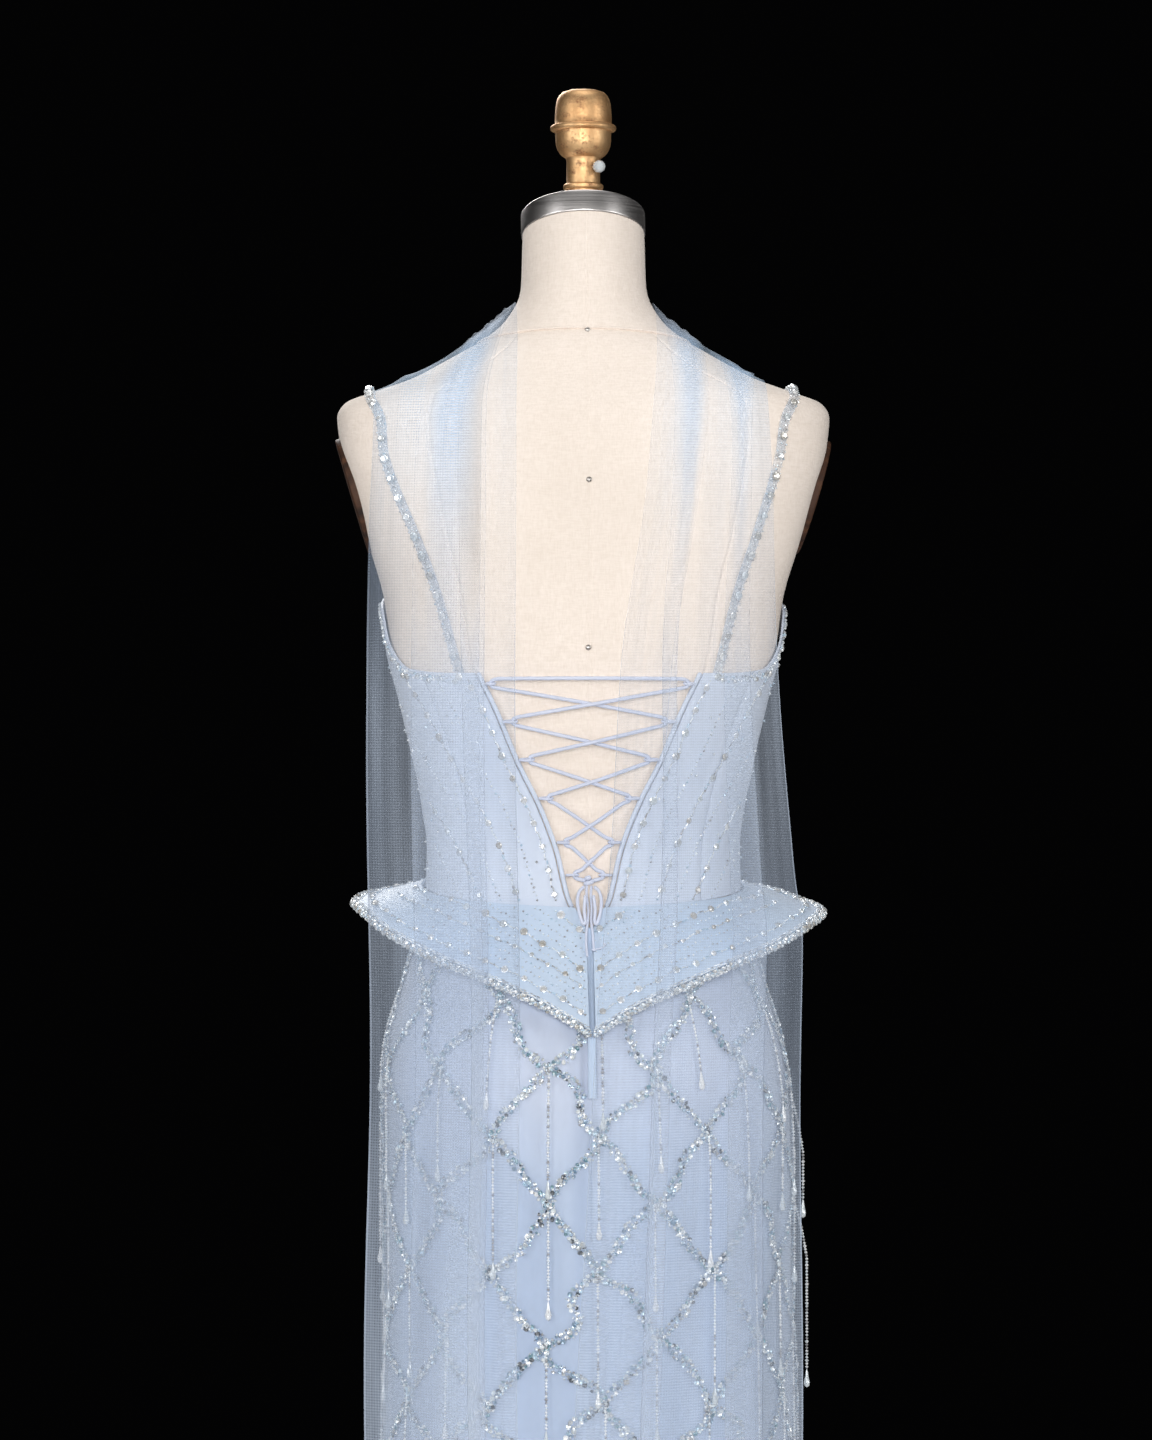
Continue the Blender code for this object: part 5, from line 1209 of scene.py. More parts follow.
def lattice_bands(rows):
    """Each band's places, (height, turn), from a node to its two neighbours in the row below."""
    samples = np.linspace(0, 1, 26)
    bands = []
    for at, ((z, turn), (low_z, low_turn)) in enumerate(zip(rows, rows[1:])):
        for cell in range(CELLS):
            for other in ((cell, cell - 1) if at % 2 == 0 else (cell, cell + 1)):
                target = low_turn[other % CELLS] + 2 * math.pi * (other // CELLS)
                wave = RANDOM.normal(0, 0.030) * np.sin(math.pi * samples)
                wave += RANDOM.normal(0, 0.026) * np.sin(2 * math.pi * samples)
                bands.append((mix(z[cell], low_z[other % CELLS], samples),
                              mix(turn[cell], target, samples) + wave))
    return bands


def placed_along(points, outs, every, size, lift=0.0, side=0.0, start=0.0, spin=0.0, tilt=0.0, vary=0.0):
    """Places at even distances on a line over a surface: X runs along it, Z points out of the surface.

    They lie `side` off the line by turns, or anywhere between two such distances, and a spin of None is random.
    """
    run = distances(points)
    at = np.arange(start, run[-1], every)
    if len(at) == 0:
        at = np.array([run[-1] / 2])

    def read(values):
        return np.stack([np.interp(at, run, values[:, k]) for k in range(3)], -1)

    out = unit(read(outs))
    ahead = read(np.gradient(points, axis=0))
    ahead = unit(ahead - out * (ahead * out).sum(-1, keepdims=True))
    across = np.cross(out, ahead)
    by_turns = np.ndim(side) == 0
    sway = np.resize([side, -side], len(at)) if by_turns else RANDOM.uniform(*side, len(at))
    where = read(points) + out * lift + across * sway[:, None]
    sizes = size * (1 + RANDOM.uniform(-vary, vary, len(at)))
    return where, framed(ahead, across, out, spin, tilt), sizes


def make_lattice():
    rows = lattice_rows()
    bands = lattice_bands(rows)
    z, turn = np.array([band[0] for band in bands]), np.array([band[1] for band in bands])
    point, _, _, out = gown_frames(z, turn, BEAD_LIFT, SKIRT_CREASES)
    sequins, seeds, stones = [], [], []
    for line, outs in zip(point, out):
        for way in (-1, 1):
            reach = sorted((0.05 * way * BAND_HALF, way * BAND_HALF))
            sequins.append(placed_along(line, outs, side=tuple(reach), start=RANDOM.uniform(0, 0.003),
                                        lift=RANDOM.uniform(0, 0.0004), **LATTICE_SEQUINS))
        seeds.append(placed_along(line, outs, start=RANDOM.uniform(0, 0.002), **LATTICE_SEEDS))
        if RANDOM.uniform() < STONE_SHARE:
            stones.append(placed_along(line, outs, start=RANDOM.uniform(0.01, 0.05), **LATTICE_STONE))
    half = len(bands) // 2
    for name, part in (("upper", slice(0, half)), ("lower", slice(half, None))):
        sew("net_sequins_" + name, "sequins", sequins[part])
        sew("net_seeds_" + name, "seeds", seeds[part])
    sew("net_stones", "stones", stones)
    make_strands(rows)


STRAND_BEAD, STRAND_SHORT, STRAND_LONG, DROP = 0.00240, 0.050, 0.098, 0.0150
HIP_STRANDS = ((-0.1715, 0.812, 0.036), (-0.1745, 0.730, 0.086))  # x, top, length: free at the right hip
HIP_STRAND_Y, HIP_STRAND_RISE = 0.004, 0.050              # and how far above its free part each is sewn on


def hung_strand(line, count, spin):
    """The places of a strand's beads, the first `count` of a line, and of the drop at its end."""
    down = np.tile([0.0, 0.0, -1.0], (count, 1))
    side = unit(np.cross(down, line[:count] * [1, 1, 0]))
    frames = np.stack([-down, side, np.cross(-down, side)], 1)
    wide = np.where(np.arange(count) % 6 == 5, 0.00160, 0.00130)
    tip = line[count - 1:count] + [[0, 0, -0.0012]]
    a = np.array([math.cos(spin), math.sin(spin), 0.0])
    lean = unit(line[-1] - line[count - 1])
    b = unit(np.cross(-lean, a))
    return ((line[:count], frames, wide),
            (tip, np.stack([np.cross(b, -lean), b, -lean])[None], np.array([DROP])))


def make_strands(rows):
    """Strands of seed beads with a crystal drop: each hangs plumb from a node, on what stands out below."""
    beads, drops = [], []
    for at, (node_z, node_turn) in enumerate(rows):
        for z, turn in zip(node_z, node_turn):
            length = RANDOM.uniform(STRAND_SHORT, STRAND_LONG)
            if at == 0 or RANDOM.uniform() > 0.90 or z - length - DROP < FLOOR_GAP + 0.01:
                continue
            count = int(length / STRAND_BEAD)
            heights = z - STRAND_BEAD * np.arange(count + 8)
            turns = np.full_like(heights, turn + RANDOM.normal(0, 0.01))
            point = gown_frames(heights, turns, BEAD_LIFT + 0.0012, SKIRT_CREASES)[0]
            reach = np.hypot(point[:, 0], point[:, 1])
            point[:, :2] *= (np.maximum.accumulate(reach) / reach)[:, None]
            strand, drop = hung_strand(evenly(point, count + 8), count, RANDOM.uniform(0, math.pi))
            beads.append(strand)
            drops.append(drop)
    for x, top, length in HIP_STRANDS:
        height, turn = np.array([top + HIP_STRAND_RISE]), np.array([-QUARTER])
        sewn = gown_frames(height, turn, BEAD_LIFT, SKIRT_CREASES)[0][0]
        drops_down = (0.0, length / 2, length, length + 8 * STRAND_BEAD)
        free = [(x, HIP_STRAND_Y, top - down) for down in drops_down]
        route = [sewn, mix(sewn, np.array(free[0]), 0.6) - [0.0010, 0, 0], *free]
        count = int((length + HIP_STRAND_RISE) / STRAND_BEAD)
        strand, drop = hung_strand(evenly(np.array(route), count + 8), count, x)
        beads.append(strand)
        drops.append(drop)
    sew("net_strands", "strands", beads, True)
    sew("net_drops", "drops", drops)


def make_placket():
    """The closed zip's two satin lips: one laps over the other, with a narrow slit between them."""
    heights = np.linspace(PLACKET_BOTTOM, OPENING_BOTTOM, 60)
    half = turn_at_x(heights, np.full(60, PLACKET_WIDTH / 2))
    across = np.array([-1.0, -0.85, -0.5, -0.19, -0.12, 0.12, 0.19, 0.5, 0.85, 1.0])
    rise = np.array([0.0, 0.0003, 0.0004, 0.0002, -0.0013, -0.0013, 0.0003, 0.0005, 0.0004, 0.0])
    turn = half[:, None] * across[None]
    z = np.repeat(heights[:, None], len(across), axis=1)
    grid = gown_layer(z, turn, SATIN + NET + 2 * SEAM_GAP + np.broadcast_to(rise, z.shape))
    strip = shell("placket_strip", grid, SATIN, PLACKET_SATIN)
    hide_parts("placket")


# Bodice ---
PIPE = 2 * PIPING_RADIUS + 3 * SEAM_GAP
BODICE_MIDDLE = 1.10
BODICE_LEVELS = 56
ROLL_WIDTH, ROLL_DEPTH, PUCKER_DEPTH = 0.0020, 0.0009, 0.00022


def v_edge(z):
    return turn_at_x(z, opening_half(z) + PIPE)


def seam_turns(read, side, gap):
    """A seam as a function of height that gives its turn; gap is in turns, towards centre front or back."""
    return lambda z: side * (np.radians(read(z)) + gap)


def bodice_places(first, last, columns):
    """Heights and turns between two side edges, from the waist seam to the top edge."""
    up = np.linspace(0, 1, BODICE_LEVELS)[:, None]
    share = np.linspace(0, 1, columns + 1)[None]
    z = np.full((BODICE_LEVELS, columns + 1), BODICE_MIDDLE)
    for _ in range(5):
        turn = mix(first(z), last(z), share)
        degrees = degrees_from_back(turn)
        z = mix(waist_seam(degrees), top_edge(degrees), up)
    return z, mix(first(z), last(z), share)


def bodice_panel(name, first, last, columns):
    z, turn = bodice_places(first, last, columns)
    if turn[0, 0] > turn[0, -1]:
        z, turn = z[:, ::-1], turn[:, ::-1]
    grid = gown_layer(z, turn, np.zeros_like(z))
    run = distances(grid, 1)
    near = np.minimum(run, run[:, -1:] - run)
    up = np.linalg.norm(grid - grid[-1:], axis=-1)
    roll = np.exp(-(near / ROLL_WIDTH) ** 2) + np.exp(-(up / ROLL_WIDTH) ** 2)
    pucker = np.sin(z * 2 * math.pi / 0.0105 + 1.4 * np.sin(z * 90)) * np.exp(-(near / 0.006) ** 2)
    thickness = BODICE - ROLL_DEPTH * np.clip(roll, 0, 1) + PUCKER_DEPTH * pucker
    thickness = np.clip(thickness + crease_field(z, turn, BODICE_CREASES, BODICE_RADIUS), 0.0009, None)
    panel = shell("bodice_satin_" + name, grid, thickness, BODICE_SATIN)
    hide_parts("bodice_" + name)
    declare_sheet(grid)


def make_bodice():
    gap = SEAM_GAP / 2 / BODICE_RADIUS
    for name, side in SIDES:
        bodice_panel("back_" + name, lambda z: side * v_edge(z), seam_turns(side_back, side, -gap), 26)
        bodice_panel("side_" + name, seam_turns(side_back, side, gap), seam_turns(side_front, side, -gap), 36)
        bodice_panel("front_" + name, seam_turns(side_front, side, gap), seam_turns(princess, side, -gap), 26)
    bodice_panel("front_centre", seam_turns(princess, 1, gap),
                 lambda z: 2 * math.pi - np.radians(princess(z)) - gap, 36)
    make_bodice_beads()
    make_piping()


def bodice_line(z, turn, lift=0.0):
    """Points and outward directions on the bodice's face."""
    point, _, _, out = gown_frames(z, turn, BODICE + lift, BODICE_CREASES, BODICE_RADIUS)
    return point, out


BACK_LINES, FRONT_LINES = 7, 7
SEED_STEP = 0.0027
LINE_SEEDS = dict(every=2 * SEED_STEP, size=0.00115, lift=0.0006, side=0.0004, spin=None, vary=0.2)
LINE_BUGLES = dict(every=2 * SEED_STEP, size=0.0015, lift=0.0006, side=0.0004, start=SEED_STEP, tilt=0.35,
                   vary=0.25)
LINE_STONES = dict(every=0.0190, size=0.0027, lift=0.0008, vary=0.18)
FINE_SEEDS = dict(every=1.25 * SEED_STEP, size=0.00115 * 0.85, lift=0.0005, side=0.0005, spin=None, vary=0.25)
TOP_SEEDS = dict(every=0.0031, size=0.0012, lift=0.0007, side=(-0.0011, 0.0011), spin=None, vary=0.4)
TOP_STONES = dict(every=0.0120, size=0.0020, lift=0.0008, side=0.0008, vary=0.3)


def make_bodice_beads():
    """Lines of beads that fan up and out from the centre of the waist, at the back and at the front."""
    seeds, bugles, stones = [], [], []
    for _, side in SIDES:
        for number in range(BACK_LINES):
            z = np.linspace(1.0120, 1.2300, 140)
            share = (z - 1.0055) / 0.18
            x = opening_half(z) + PIPE + 0.0068 + number * mix(0.0135, 0.0225, share)
            turn = turn_at_x(z, x)
            wide = gown_point(z, np.full_like(z, QUARTER))[:, 0]
            keep = (z < top_edge(degrees_from_back(turn)) - 0.002) & (x < 0.955 * wide)
            keep &= z > waist_seam(degrees_from_back(turn)) + 0.001
            if keep.sum() > 10:
                line, outs = bodice_line(z[keep], side * turn[keep])
                string_beads(line, outs, number % 2 == 0, seeds, bugles, stones)
        for number in range(FRONT_LINES):
            z = np.linspace(1.024, 1.275, 150)
            share = (z - 1.03) / 0.22
            degrees = 176.5 - number * mix(7.2, 13.4, share) - 2.0 * share
            keep = (z < top_edge(degrees) - 0.002) & (z > waist_seam(degrees) + 0.001) & (degrees > 86)
            line, outs = bodice_line(z[keep], side * np.radians(degrees[keep]))
            string_beads(line, outs, number % 2 == 1, seeds, bugles, stones)
        for inset, kind in ((0.0022, 0), (0.0052, 1)):
            degrees = np.linspace(41.5, 180, 260)
            z = top_edge(degrees) - inset
            line, outs = bodice_line(z, side * np.radians(degrees))
            if kind:
                stones.append(placed_along(line, outs, **TOP_STONES))
            seeds.append(placed_along(line, outs, **TOP_SEEDS))
    seeds.append(strewn(260))
    sew("bodice_seeds", "seeds", seeds)
    sew("bodice_bugles", "bugles", bugles)
    sew("bodice_stones", "stones", stones)


def string_beads(line, outs, with_stones, seeds, bugles, stones):
    """A line of seed beads and short bugles by turns, with stones between them, or of seed beads alone."""
    if with_stones:
        seeds.append(placed_along(line, outs, **LINE_SEEDS))
        bugles.append(placed_along(line, outs, **LINE_BUGLES))
        stones.append(placed_along(line, outs, start=RANDOM.uniform(0.002, 0.012), **LINE_STONES))
    else:
        seeds.append(placed_along(line, outs, **FINE_SEEDS))


def strewn(count):
    """Single beads sewn here and there over the bodice."""
    z, turn = RANDOM.uniform(1.02, 1.25, count), RANDOM.uniform(0, 2 * math.pi, count)
    degrees = degrees_from_back(turn)
    x = np.abs(gown_point(z, turn)[:, 0])
    keep = (z < top_edge(degrees) - 0.006) & (z > waist_seam(degrees) + 0.003)
    keep &= (degrees > 90) | (x > opening_half(z) + 0.012)
    point, along, up, out = gown_frames(z[keep], turn[keep], BODICE + 0.0006, BODICE_CREASES, BODICE_RADIUS)
    return point, framed(along, up, out), np.full(int(keep.sum()), 0.0013)


def make_piping():
    heights = np.linspace(waist_seam(0.0) + 0.0016, top_edge(0.0) - 0.0004, 70)
    for name, side in SIDES:
        turn = turn_at_x(heights, opening_half(heights) + PIPING_RADIUS)
        line = gown_layer(heights, side * turn, np.full(70, BODICE / 2))
        wobble = 1 + 0.05 * np.sin(heights * 900 + side) * np.sin(heights * 310)
        pipe = tube_mesh("back_piping_satin_" + name, line, PIPING_RADIUS * wobble, BODICE_SATIN,
                         14)
        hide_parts("back_piping_" + name)


# Lacing ---
LOOP_PLACES = ((1.1789, 0.0745), (1.1500, 0.0580), (1.1211, 0.0453), (1.0914, 0.0310), (1.0572, 0.0185),
               (1.0314, 0.0115))         # height, half the distance between the left and right lace's bends
LACE_HEIGHT, LACE_CROSSING, LACE_BEND, LACE_NEAR, LACE_TURN_IN = 0.0058, 0.0024, 0.0036, 0.0055, 0.0012
KNOT_Z, KNOT_HALF, KNOT_HEIGHT = 1.0272, (0.0042, 0.0032, 0.0040), 0.0066
BOW_RADIUS = 0.00125
BOW = ((0.0040, 0.0010, 0.0088), (0.0074, 0.0050, 0.0086), (0.0088, 0.0130, 0.0098), (0.0078, 0.0225, 0.0116),
       (0.0052, 0.0310, 0.0120), (0.0034, 0.0300, 0.0120), (0.0040, 0.0200, 0.0114), (0.0030, 0.0090, 0.0106))
TAILS = {"left": ((0.0018, 0.0001, 0.0070), (0.0020, 0.0080, 0.0078), (0.0010, 0.0180, 0.0084),
                  (0.0014, 0.0280, 0.0100), (0.0027, 0.0370, 0.0112), (0.0030, 0.0460, 0.0114),
                  (0.0024, 0.0560, 0.0112)),
         "right": ((0.0018, 0.0001, 0.0070), (0.0012, 0.0090, 0.0080), (0.0016, 0.0190, 0.0086),
                   (0.0011, 0.0290, 0.0102), (0.0019, 0.0380, 0.0112), (0.0023, 0.0450, 0.0112),
                   (0.0026, 0.0520, 0.0112))}                        # x, drop below the knot, height
TAIL_RADIUS = 0.0010


def over_back(route):
    """Points over the form's back from rows of (x, z, height)."""
    route = np.asarray(route, float)
    return back_point(route[:, 0], route[:, 1], route[:, 2])


def rounded(route, step, soft):
    """A route's own points, evenly spaced and with its corners rounded."""
    route = np.asarray(route, float)
    length = np.linalg.norm(np.diff(route, axis=0), axis=1).sum()
    return softened(evenly(route, max(8, int(length / step))), soft)


def make_loops():
    bight = LACE_RADIUS + 3 * SEAM_GAP + LOOP_RADIUS
    for name, side in SIDES:
        for number, (z, half) in enumerate(LOOP_PLACES, 1):
            edge = float(opening_half(z)) - 4 * SEAM_GAP
            shape = [(edge, LOOP_RADIUS + SEAM_GAP), (half, bight), (half - 0.8 * bight, 0.6 * bight),
                     (half - bight, 0.0)]
            route = [(side * x, z, LACE_HEIGHT + up) for x, up in shape]
            route += [(side * x, z, LACE_HEIGHT - up) for x, up in shape[-2::-1]]
            line = over_back(rounded(route, 0.0006, 1.6))
            loop = tube_mesh("lace_loop_satin_%s_%d" % (name, number), line, LOOP_RADIUS, TRIM_SATIN,
                             10)
            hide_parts("lace_loop_%s_%d" % (name, number))


def lace_run(side, lift):
    """One half of the lace, from the top row down to the knot: it crosses over between rows."""
    route = []
    for at, (z, half) in enumerate(LOOP_PLACES):
        if at > 0:
            route.append((side * (half - LACE_NEAR), z + LACE_BEND, LACE_HEIGHT))
            route.append((side * (half - LACE_TURN_IN), z + 0.7 * LACE_BEND, LACE_HEIGHT))
        route.append((side * half, z, LACE_HEIGHT))
        route.append((side * (half - LACE_TURN_IN), z - 0.7 * LACE_BEND, LACE_HEIGHT))
        if at + 1 < len(LOOP_PLACES):
            low_z, low_half = LOOP_PLACES[at + 1]
            route.append((side * (half - LACE_NEAR), z - LACE_BEND, LACE_HEIGHT))
            up = lift if at % 2 else -lift
            route.append((side * (half - low_half) / 2, (z + low_z) / 2, LACE_HEIGHT + up))
            side = -side
    route.append((side * (KNOT_HALF[0] - 0.0010), KNOT_Z, KNOT_HEIGHT))
    return route


def make_lace():
    first, second = lace_run(1, LACE_CROSSING), lace_run(-1, -LACE_CROSSING)
    top_z, top_half = LOOP_PLACES[0]
    near = top_half - LACE_NEAR
    across = [(x, top_z + LACE_BEND, LACE_HEIGHT) for x in (near, near / 3, -near / 3, -near)]
    ends = [(side * (top_half - LACE_TURN_IN), top_z + 0.7 * LACE_BEND, LACE_HEIGHT) for side in (1, -1)]
    route = first[::-1] + [ends[0]] + across + [ends[1]] + second
    line = rounded(route, 0.0013, 1.3)
    count = np.arange(len(line))
    radius = LACE_RADIUS * (0.84 + 0.06 * np.sin(count * 0.9) * np.sin(count * 0.23))
    lace = tube_mesh("lace_satin", over_back(line), radius, TRIM_SATIN, 10)
    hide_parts("lace")


def make_bow():
    centre = back_point(0.0, KNOT_Z, KNOT_HEIGHT)
    turns = np.linspace(-0.35, 2.6 * math.pi, 60)
    wrap = np.stack([(KNOT_HALF[0] - 0.0015) * np.cos(turns) * (1 - 0.03 * turns),
                     (KNOT_HALF[1] - 0.0010) * np.sin(turns), 0.0026 * (turns / turns[-1] - 0.5) * 2], -1)
    knot = tube_mesh("lace_knot_satin", centre + wrap, 0.00165, TRIM_SATIN, 12)
    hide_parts("lace_knot")
    low = KNOT_Z - KNOT_HALF[2]
    for name, side in SIDES:
        points = over_back([(side * x, low - drop, height) for x, drop, height in BOW])
        bow = tube_mesh("lace_bow_satin_" + name, spline(points, 44), BOW_RADIUS, TRIM_SATIN, 12)
        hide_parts("lace_bow_" + name)
        line = spline(over_back([(side * x, low - drop, height) for x, drop, height in TAILS[name]]), 30)
        tail = curve_tube("lace_tail_satin_" + name, line, TAIL_RADIUS, TRIM_SATIN)
        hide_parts("lace_tail_" + name)
    make_hook()


def make_hook():
    """The hook that closes the zip's top."""
    route = [(-0.0012, 0.9722, 0.0116), (-0.0060, 0.9730, 0.0117), (-0.0100, 0.9746, 0.0115),
             (-0.0108, 0.9766, 0.0115),
             (-0.0092, 0.9774, 0.0116)]
    tube_mesh("lace_hook", spline(over_back(route), 24), 0.00055, TRIM_SATIN, 8)


def curve_tube(name, line, radius, look):
    curve = bpy.data.curves.new(name, "CURVE")
    curve.dimensions = "3D"
    route = curve.splines.new("POLY")
    route.points.add(len(line) - 1)
    for point, place in zip(route.points, line):
        point.co = (*place.tolist(), 1.0)
    curve.bevel_depth, curve.bevel_resolution, curve.use_fill_caps = radius, 3, True
    curve.materials.append(look)
    piece = bpy.data.objects.new(name, curve)
    bpy.context.scene.collection.objects.link(piece)
    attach(piece, "root")
    return piece


# Straps ---
STRAP_ROUTE = (                          # x, z, behind or in front, how much nearer the middle on the right
    (0.0960, 1.180, 1, 0.0), (0.1120, 1.238, 1, 0.0028), (0.1290, 1.285, 1, 0.0045), (0.1430, 1.318, 1, 0.0080),
    (0.1550, 1.352, 1, 0.0100), (0.1602, 1.386, 1, 0.0070), (0.1602, 1.386, -1, 0.0070),
    (0.1510, 1.358, -1, 0.0060), (0.1370, 1.325, -1, 0.0040), (0.1215, 1.296, -1, 0.0020),
    (0.1060, 1.266, -1, 0.0))


STRAP_SHARE, TAPE_WALL, TAPE_CROWN = 0.86, 0.0011, 0.0004   # the tape's share of the strap, its wall and crown
STRAP_STONES = dict(every=0.0160, size=0.0030, lift=0.0008, vary=0.12)
STRAP_SEEDS = dict(every=0.0030, size=0.0010, lift=0.0006, side=(-0.0015, 0.0015), spin=None, vary=0.3)
RIM_SEEDS = dict(every=0.0058, size=0.0008, lift=0.0001, spin=None, vary=0.2)
TOP_STONE = dict(every=1.0, size=0.0029, lift=0.0012)
CHEST_HALF, CHEST_DEPTH = 0.150, 0.098       # of the form where the straps leave the bodice


def node_tree(names):
    """One search tree over the named CAD nodes' meshes."""
    vertices, faces = [], []
    for name in names:
        mesh = bpy.data.objects[name].data
        start = len(vertices)
        vertices += [v.co.copy() for v in mesh.vertices]
        faces += [[start + i for i in polygon.vertices] for polygon in mesh.polygons]
    return BVHTree.FromPolygons(vertices, faces)


def strap_line(tree, side):
    """The strap's middle on the form, and its outward directions."""
    guide = []
    for x, z, way, right_in in STRAP_ROUTE:
        x -= right_in if side < 0 else 0.0
        guide.append(tree.ray_cast(Vector((side * x, way, z)), Vector((0, -way, 0)))[0])
    route = spline(guide, 121)
    found = [tree.find_nearest(Vector(point)) for point in route]
    centre = softened(np.array([hit[0] for hit in found]), 2.2)
    out = unit(softened(np.array([hit[1] for hit in found]), 7.0))
    return centre, out


def make_straps():
    tree = node_tree(["form_torso"])
    seeds, stones = [], []
    for name, side in SIDES:
        centre, out = strap_line(tree, side)
        turn = np.arctan2(centre[:, 0] / CHEST_HALF, centre[:, 1] / CHEST_DEPTH)
        keep = centre[:, 2] > top_edge(degrees_from_back(turn)) - 0.004
        centre, out = centre[keep], out[keep]
        ahead = unit(np.gradient(centre, axis=0))
        across = unit(np.cross(ahead, out))
        share = np.linspace(-1, 1, 9)
        crown = STRAP_EASE + TAPE_CROWN * (1 - share**2)
        grid = centre[:, None] + across[:, None] * (share * STRAP_WIDTH / 2 * STRAP_SHARE)[None, :, None]
        grid = grid + out[:, None] * crown[None, :, None]
        tape = shell("strap_tape_" + name, grid, TAPE_WALL, TAPE)
        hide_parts("strap_" + name)
        middle = centre + out * (STRAP_EASE + TAPE_WALL + TAPE_CROWN)
        stones.append(placed_along(middle, out, **STRAP_STONES))
        seeds.append(placed_along(middle, out, **STRAP_SEEDS))
        for edge in (-1, 1):
            rim = middle + across * edge * (STRAP_WIDTH / 2 - TAPE_WALL)
            seeds.append(placed_along(rim, out, **RIM_SEEDS))
        top = int(np.argmax(centre[:, 2]))
        for step in (-3, 0, 3):
            near = slice(max(top + step - 1, 0), top + step + 2)
            stones.append(placed_along(middle[near], out[near], **TOP_STONE))
    sew("strap_seeds", "seeds", seeds)
    sew("strap_stones", "stones", stones)


# Peplum ---
PEPLUM_LEVELS, PEPLUM_COLUMNS = 30, 64
PEPLUM_EDGE_Z = 0.9124
PEPLUM_RIPPLES = ((5, 0.0012, 0.4), (9, 0.0008, 1.9), (14, 0.0005, 0.8))    # count, height, phase


def peplum_layer(down, turn, out):
    """Points `out` from the peplum's inside face, and their outward directions."""
    point, _, _, inward = frame_at(peplum_point, down, turn)
    ripple = sum(high * np.sin(count * turn + phase) for count, high, phase in PEPLUM_RIPPLES)
    rise = np.asarray(out) + np.clip(down, 0, 1) ** 2 * (ripple + 0.0014)
    return point - inward * np.broadcast_to(rise, point.shape[:-1])[..., None], -inward


def peplum_first_turn(down):
    z = mix(waist_seam(0.0), PEPLUM_EDGE_Z, down)
    middle = PLACKET_WIDTH / 2 + SEAM_GAP
    half = np.where(z < OPENING_BOTTOM, middle, np.maximum(middle, opening_half(z)))
    return turn_at_x(z, half)


def make_peplum():
    inset = SEAM_GAP / 2 / BODICE_RADIUS
    share = np.linspace(0, 1, PEPLUM_COLUMNS + 1)[None]
    for name, side in SIDES:
        edge_lines = []
        for place in ("back", "front"):
            down = np.repeat(np.linspace(0, 1, PEPLUM_LEVELS)[:, None], PEPLUM_COLUMNS + 1, axis=1)
            if place == "back":
                turn = mix(peplum_first_turn(down[:, :1]), QUARTER - inset, share)
            else:
                turn = np.repeat(mix(QUARTER + inset, math.pi - inset, share), PEPLUM_LEVELS, axis=0)
            grid = peplum_layer(down, side * turn, 0.0)[0]
            edge_lines.append(grid[-2:])
            grid = grid[::-1]
            if side < 0:
                grid = grid[:, ::-1]
            piece = shell("peplum_satin_%s_%s" % (place, name), grid, PEPLUM, PEPLUM_SATIN)
            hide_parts("peplum_%s_%s" % (place, name))
            declare_sheet(grid)
        make_edging(name, np.concatenate([edge_lines[0], edge_lines[1][:, 1:]], axis=1))
    make_peplum_beads()


EDGE_CORD = 0.0015
EDGE_SEEDS = dict(every=0.0030, size=0.00115, lift=EDGE_CORD + 0.0003, spin=None, vary=0.2)
EDGE_STONES = dict(every=0.0072, size=0.0017, lift=EDGE_CORD + 0.0007, side=0.0003, vary=0.2)
EDGE_BUGLES = dict(every=0.0030, side=0.0002, tilt=0.3, vary=0.15)


def make_edging(name, edge_rows):
    """The cord sewn round the peplum's edge, covered with beads."""
    inner, edge = edge_rows
    away = unit(edge - inner)
    ahead = unit(np.gradient(edge, axis=0))
    up = unit(np.cross(away, ahead))
    up = up * np.where(up[:, 2:] < 0, -1, 1)
    line = edge + away * (EDGING_RADIUS + 2 * SEAM_GAP) + up * PEPLUM / 2
    side = 1 if name == "left" else -1
    line[0, 0] = line[-1, 0] = side * 0.0016
    core = tube_mesh("peplum_edge_cord_" + name, line, EDGE_CORD, PEPLUM_SATIN, 10)
    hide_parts("peplum_edge_" + name)
    seeds, bugles, stones = [], [], []
    for number, degrees in enumerate((-50, 0, 50, 100, 155, 215)):
        angle = math.radians(degrees)
        outs = away * math.cos(angle) + up * math.sin(angle)
        start = 0.0012 * (number % 2)
        seeds.append(placed_along(line, outs, start=start, **EDGE_SEEDS))
    for degrees in (-20, 40, 100):
        angle = math.radians(degrees)
        outs = away * math.cos(angle) + up * math.sin(angle)
        stones.append(placed_along(line, outs, start=0.003 + 0.00005 * degrees, **EDGE_STONES))
    for inset, size in ((0.0006, 0.0013), (0.0022, 0.0011)):
        row = edge - away * inset + up * (PEPLUM + 0.0006)
        bugles.append(placed_along(row, up, size=size, start=inset / 3, **EDGE_BUGLES))
    sew("peplum_edge_seeds_" + name, "seeds", seeds)
    sew("peplum_edge_bugles_" + name, "edge_bugles", bugles)
    sew("peplum_edge_stones_" + name, "stones", stones)


# each row's distance from the edge along the cloth, its stones' size and the distance between them
STONE_ROWS = ((0.0115, 0.0026, 0.0170), (0.0330, 0.0018, 0.0150), (0.0470, 0.0028, 0.0175),
              (0.0780, 0.0028, 0.0180))
FINE_ROWS = (0.0190, 0.0260, 0.0400, 0.0550, 0.0625, 0.0705)


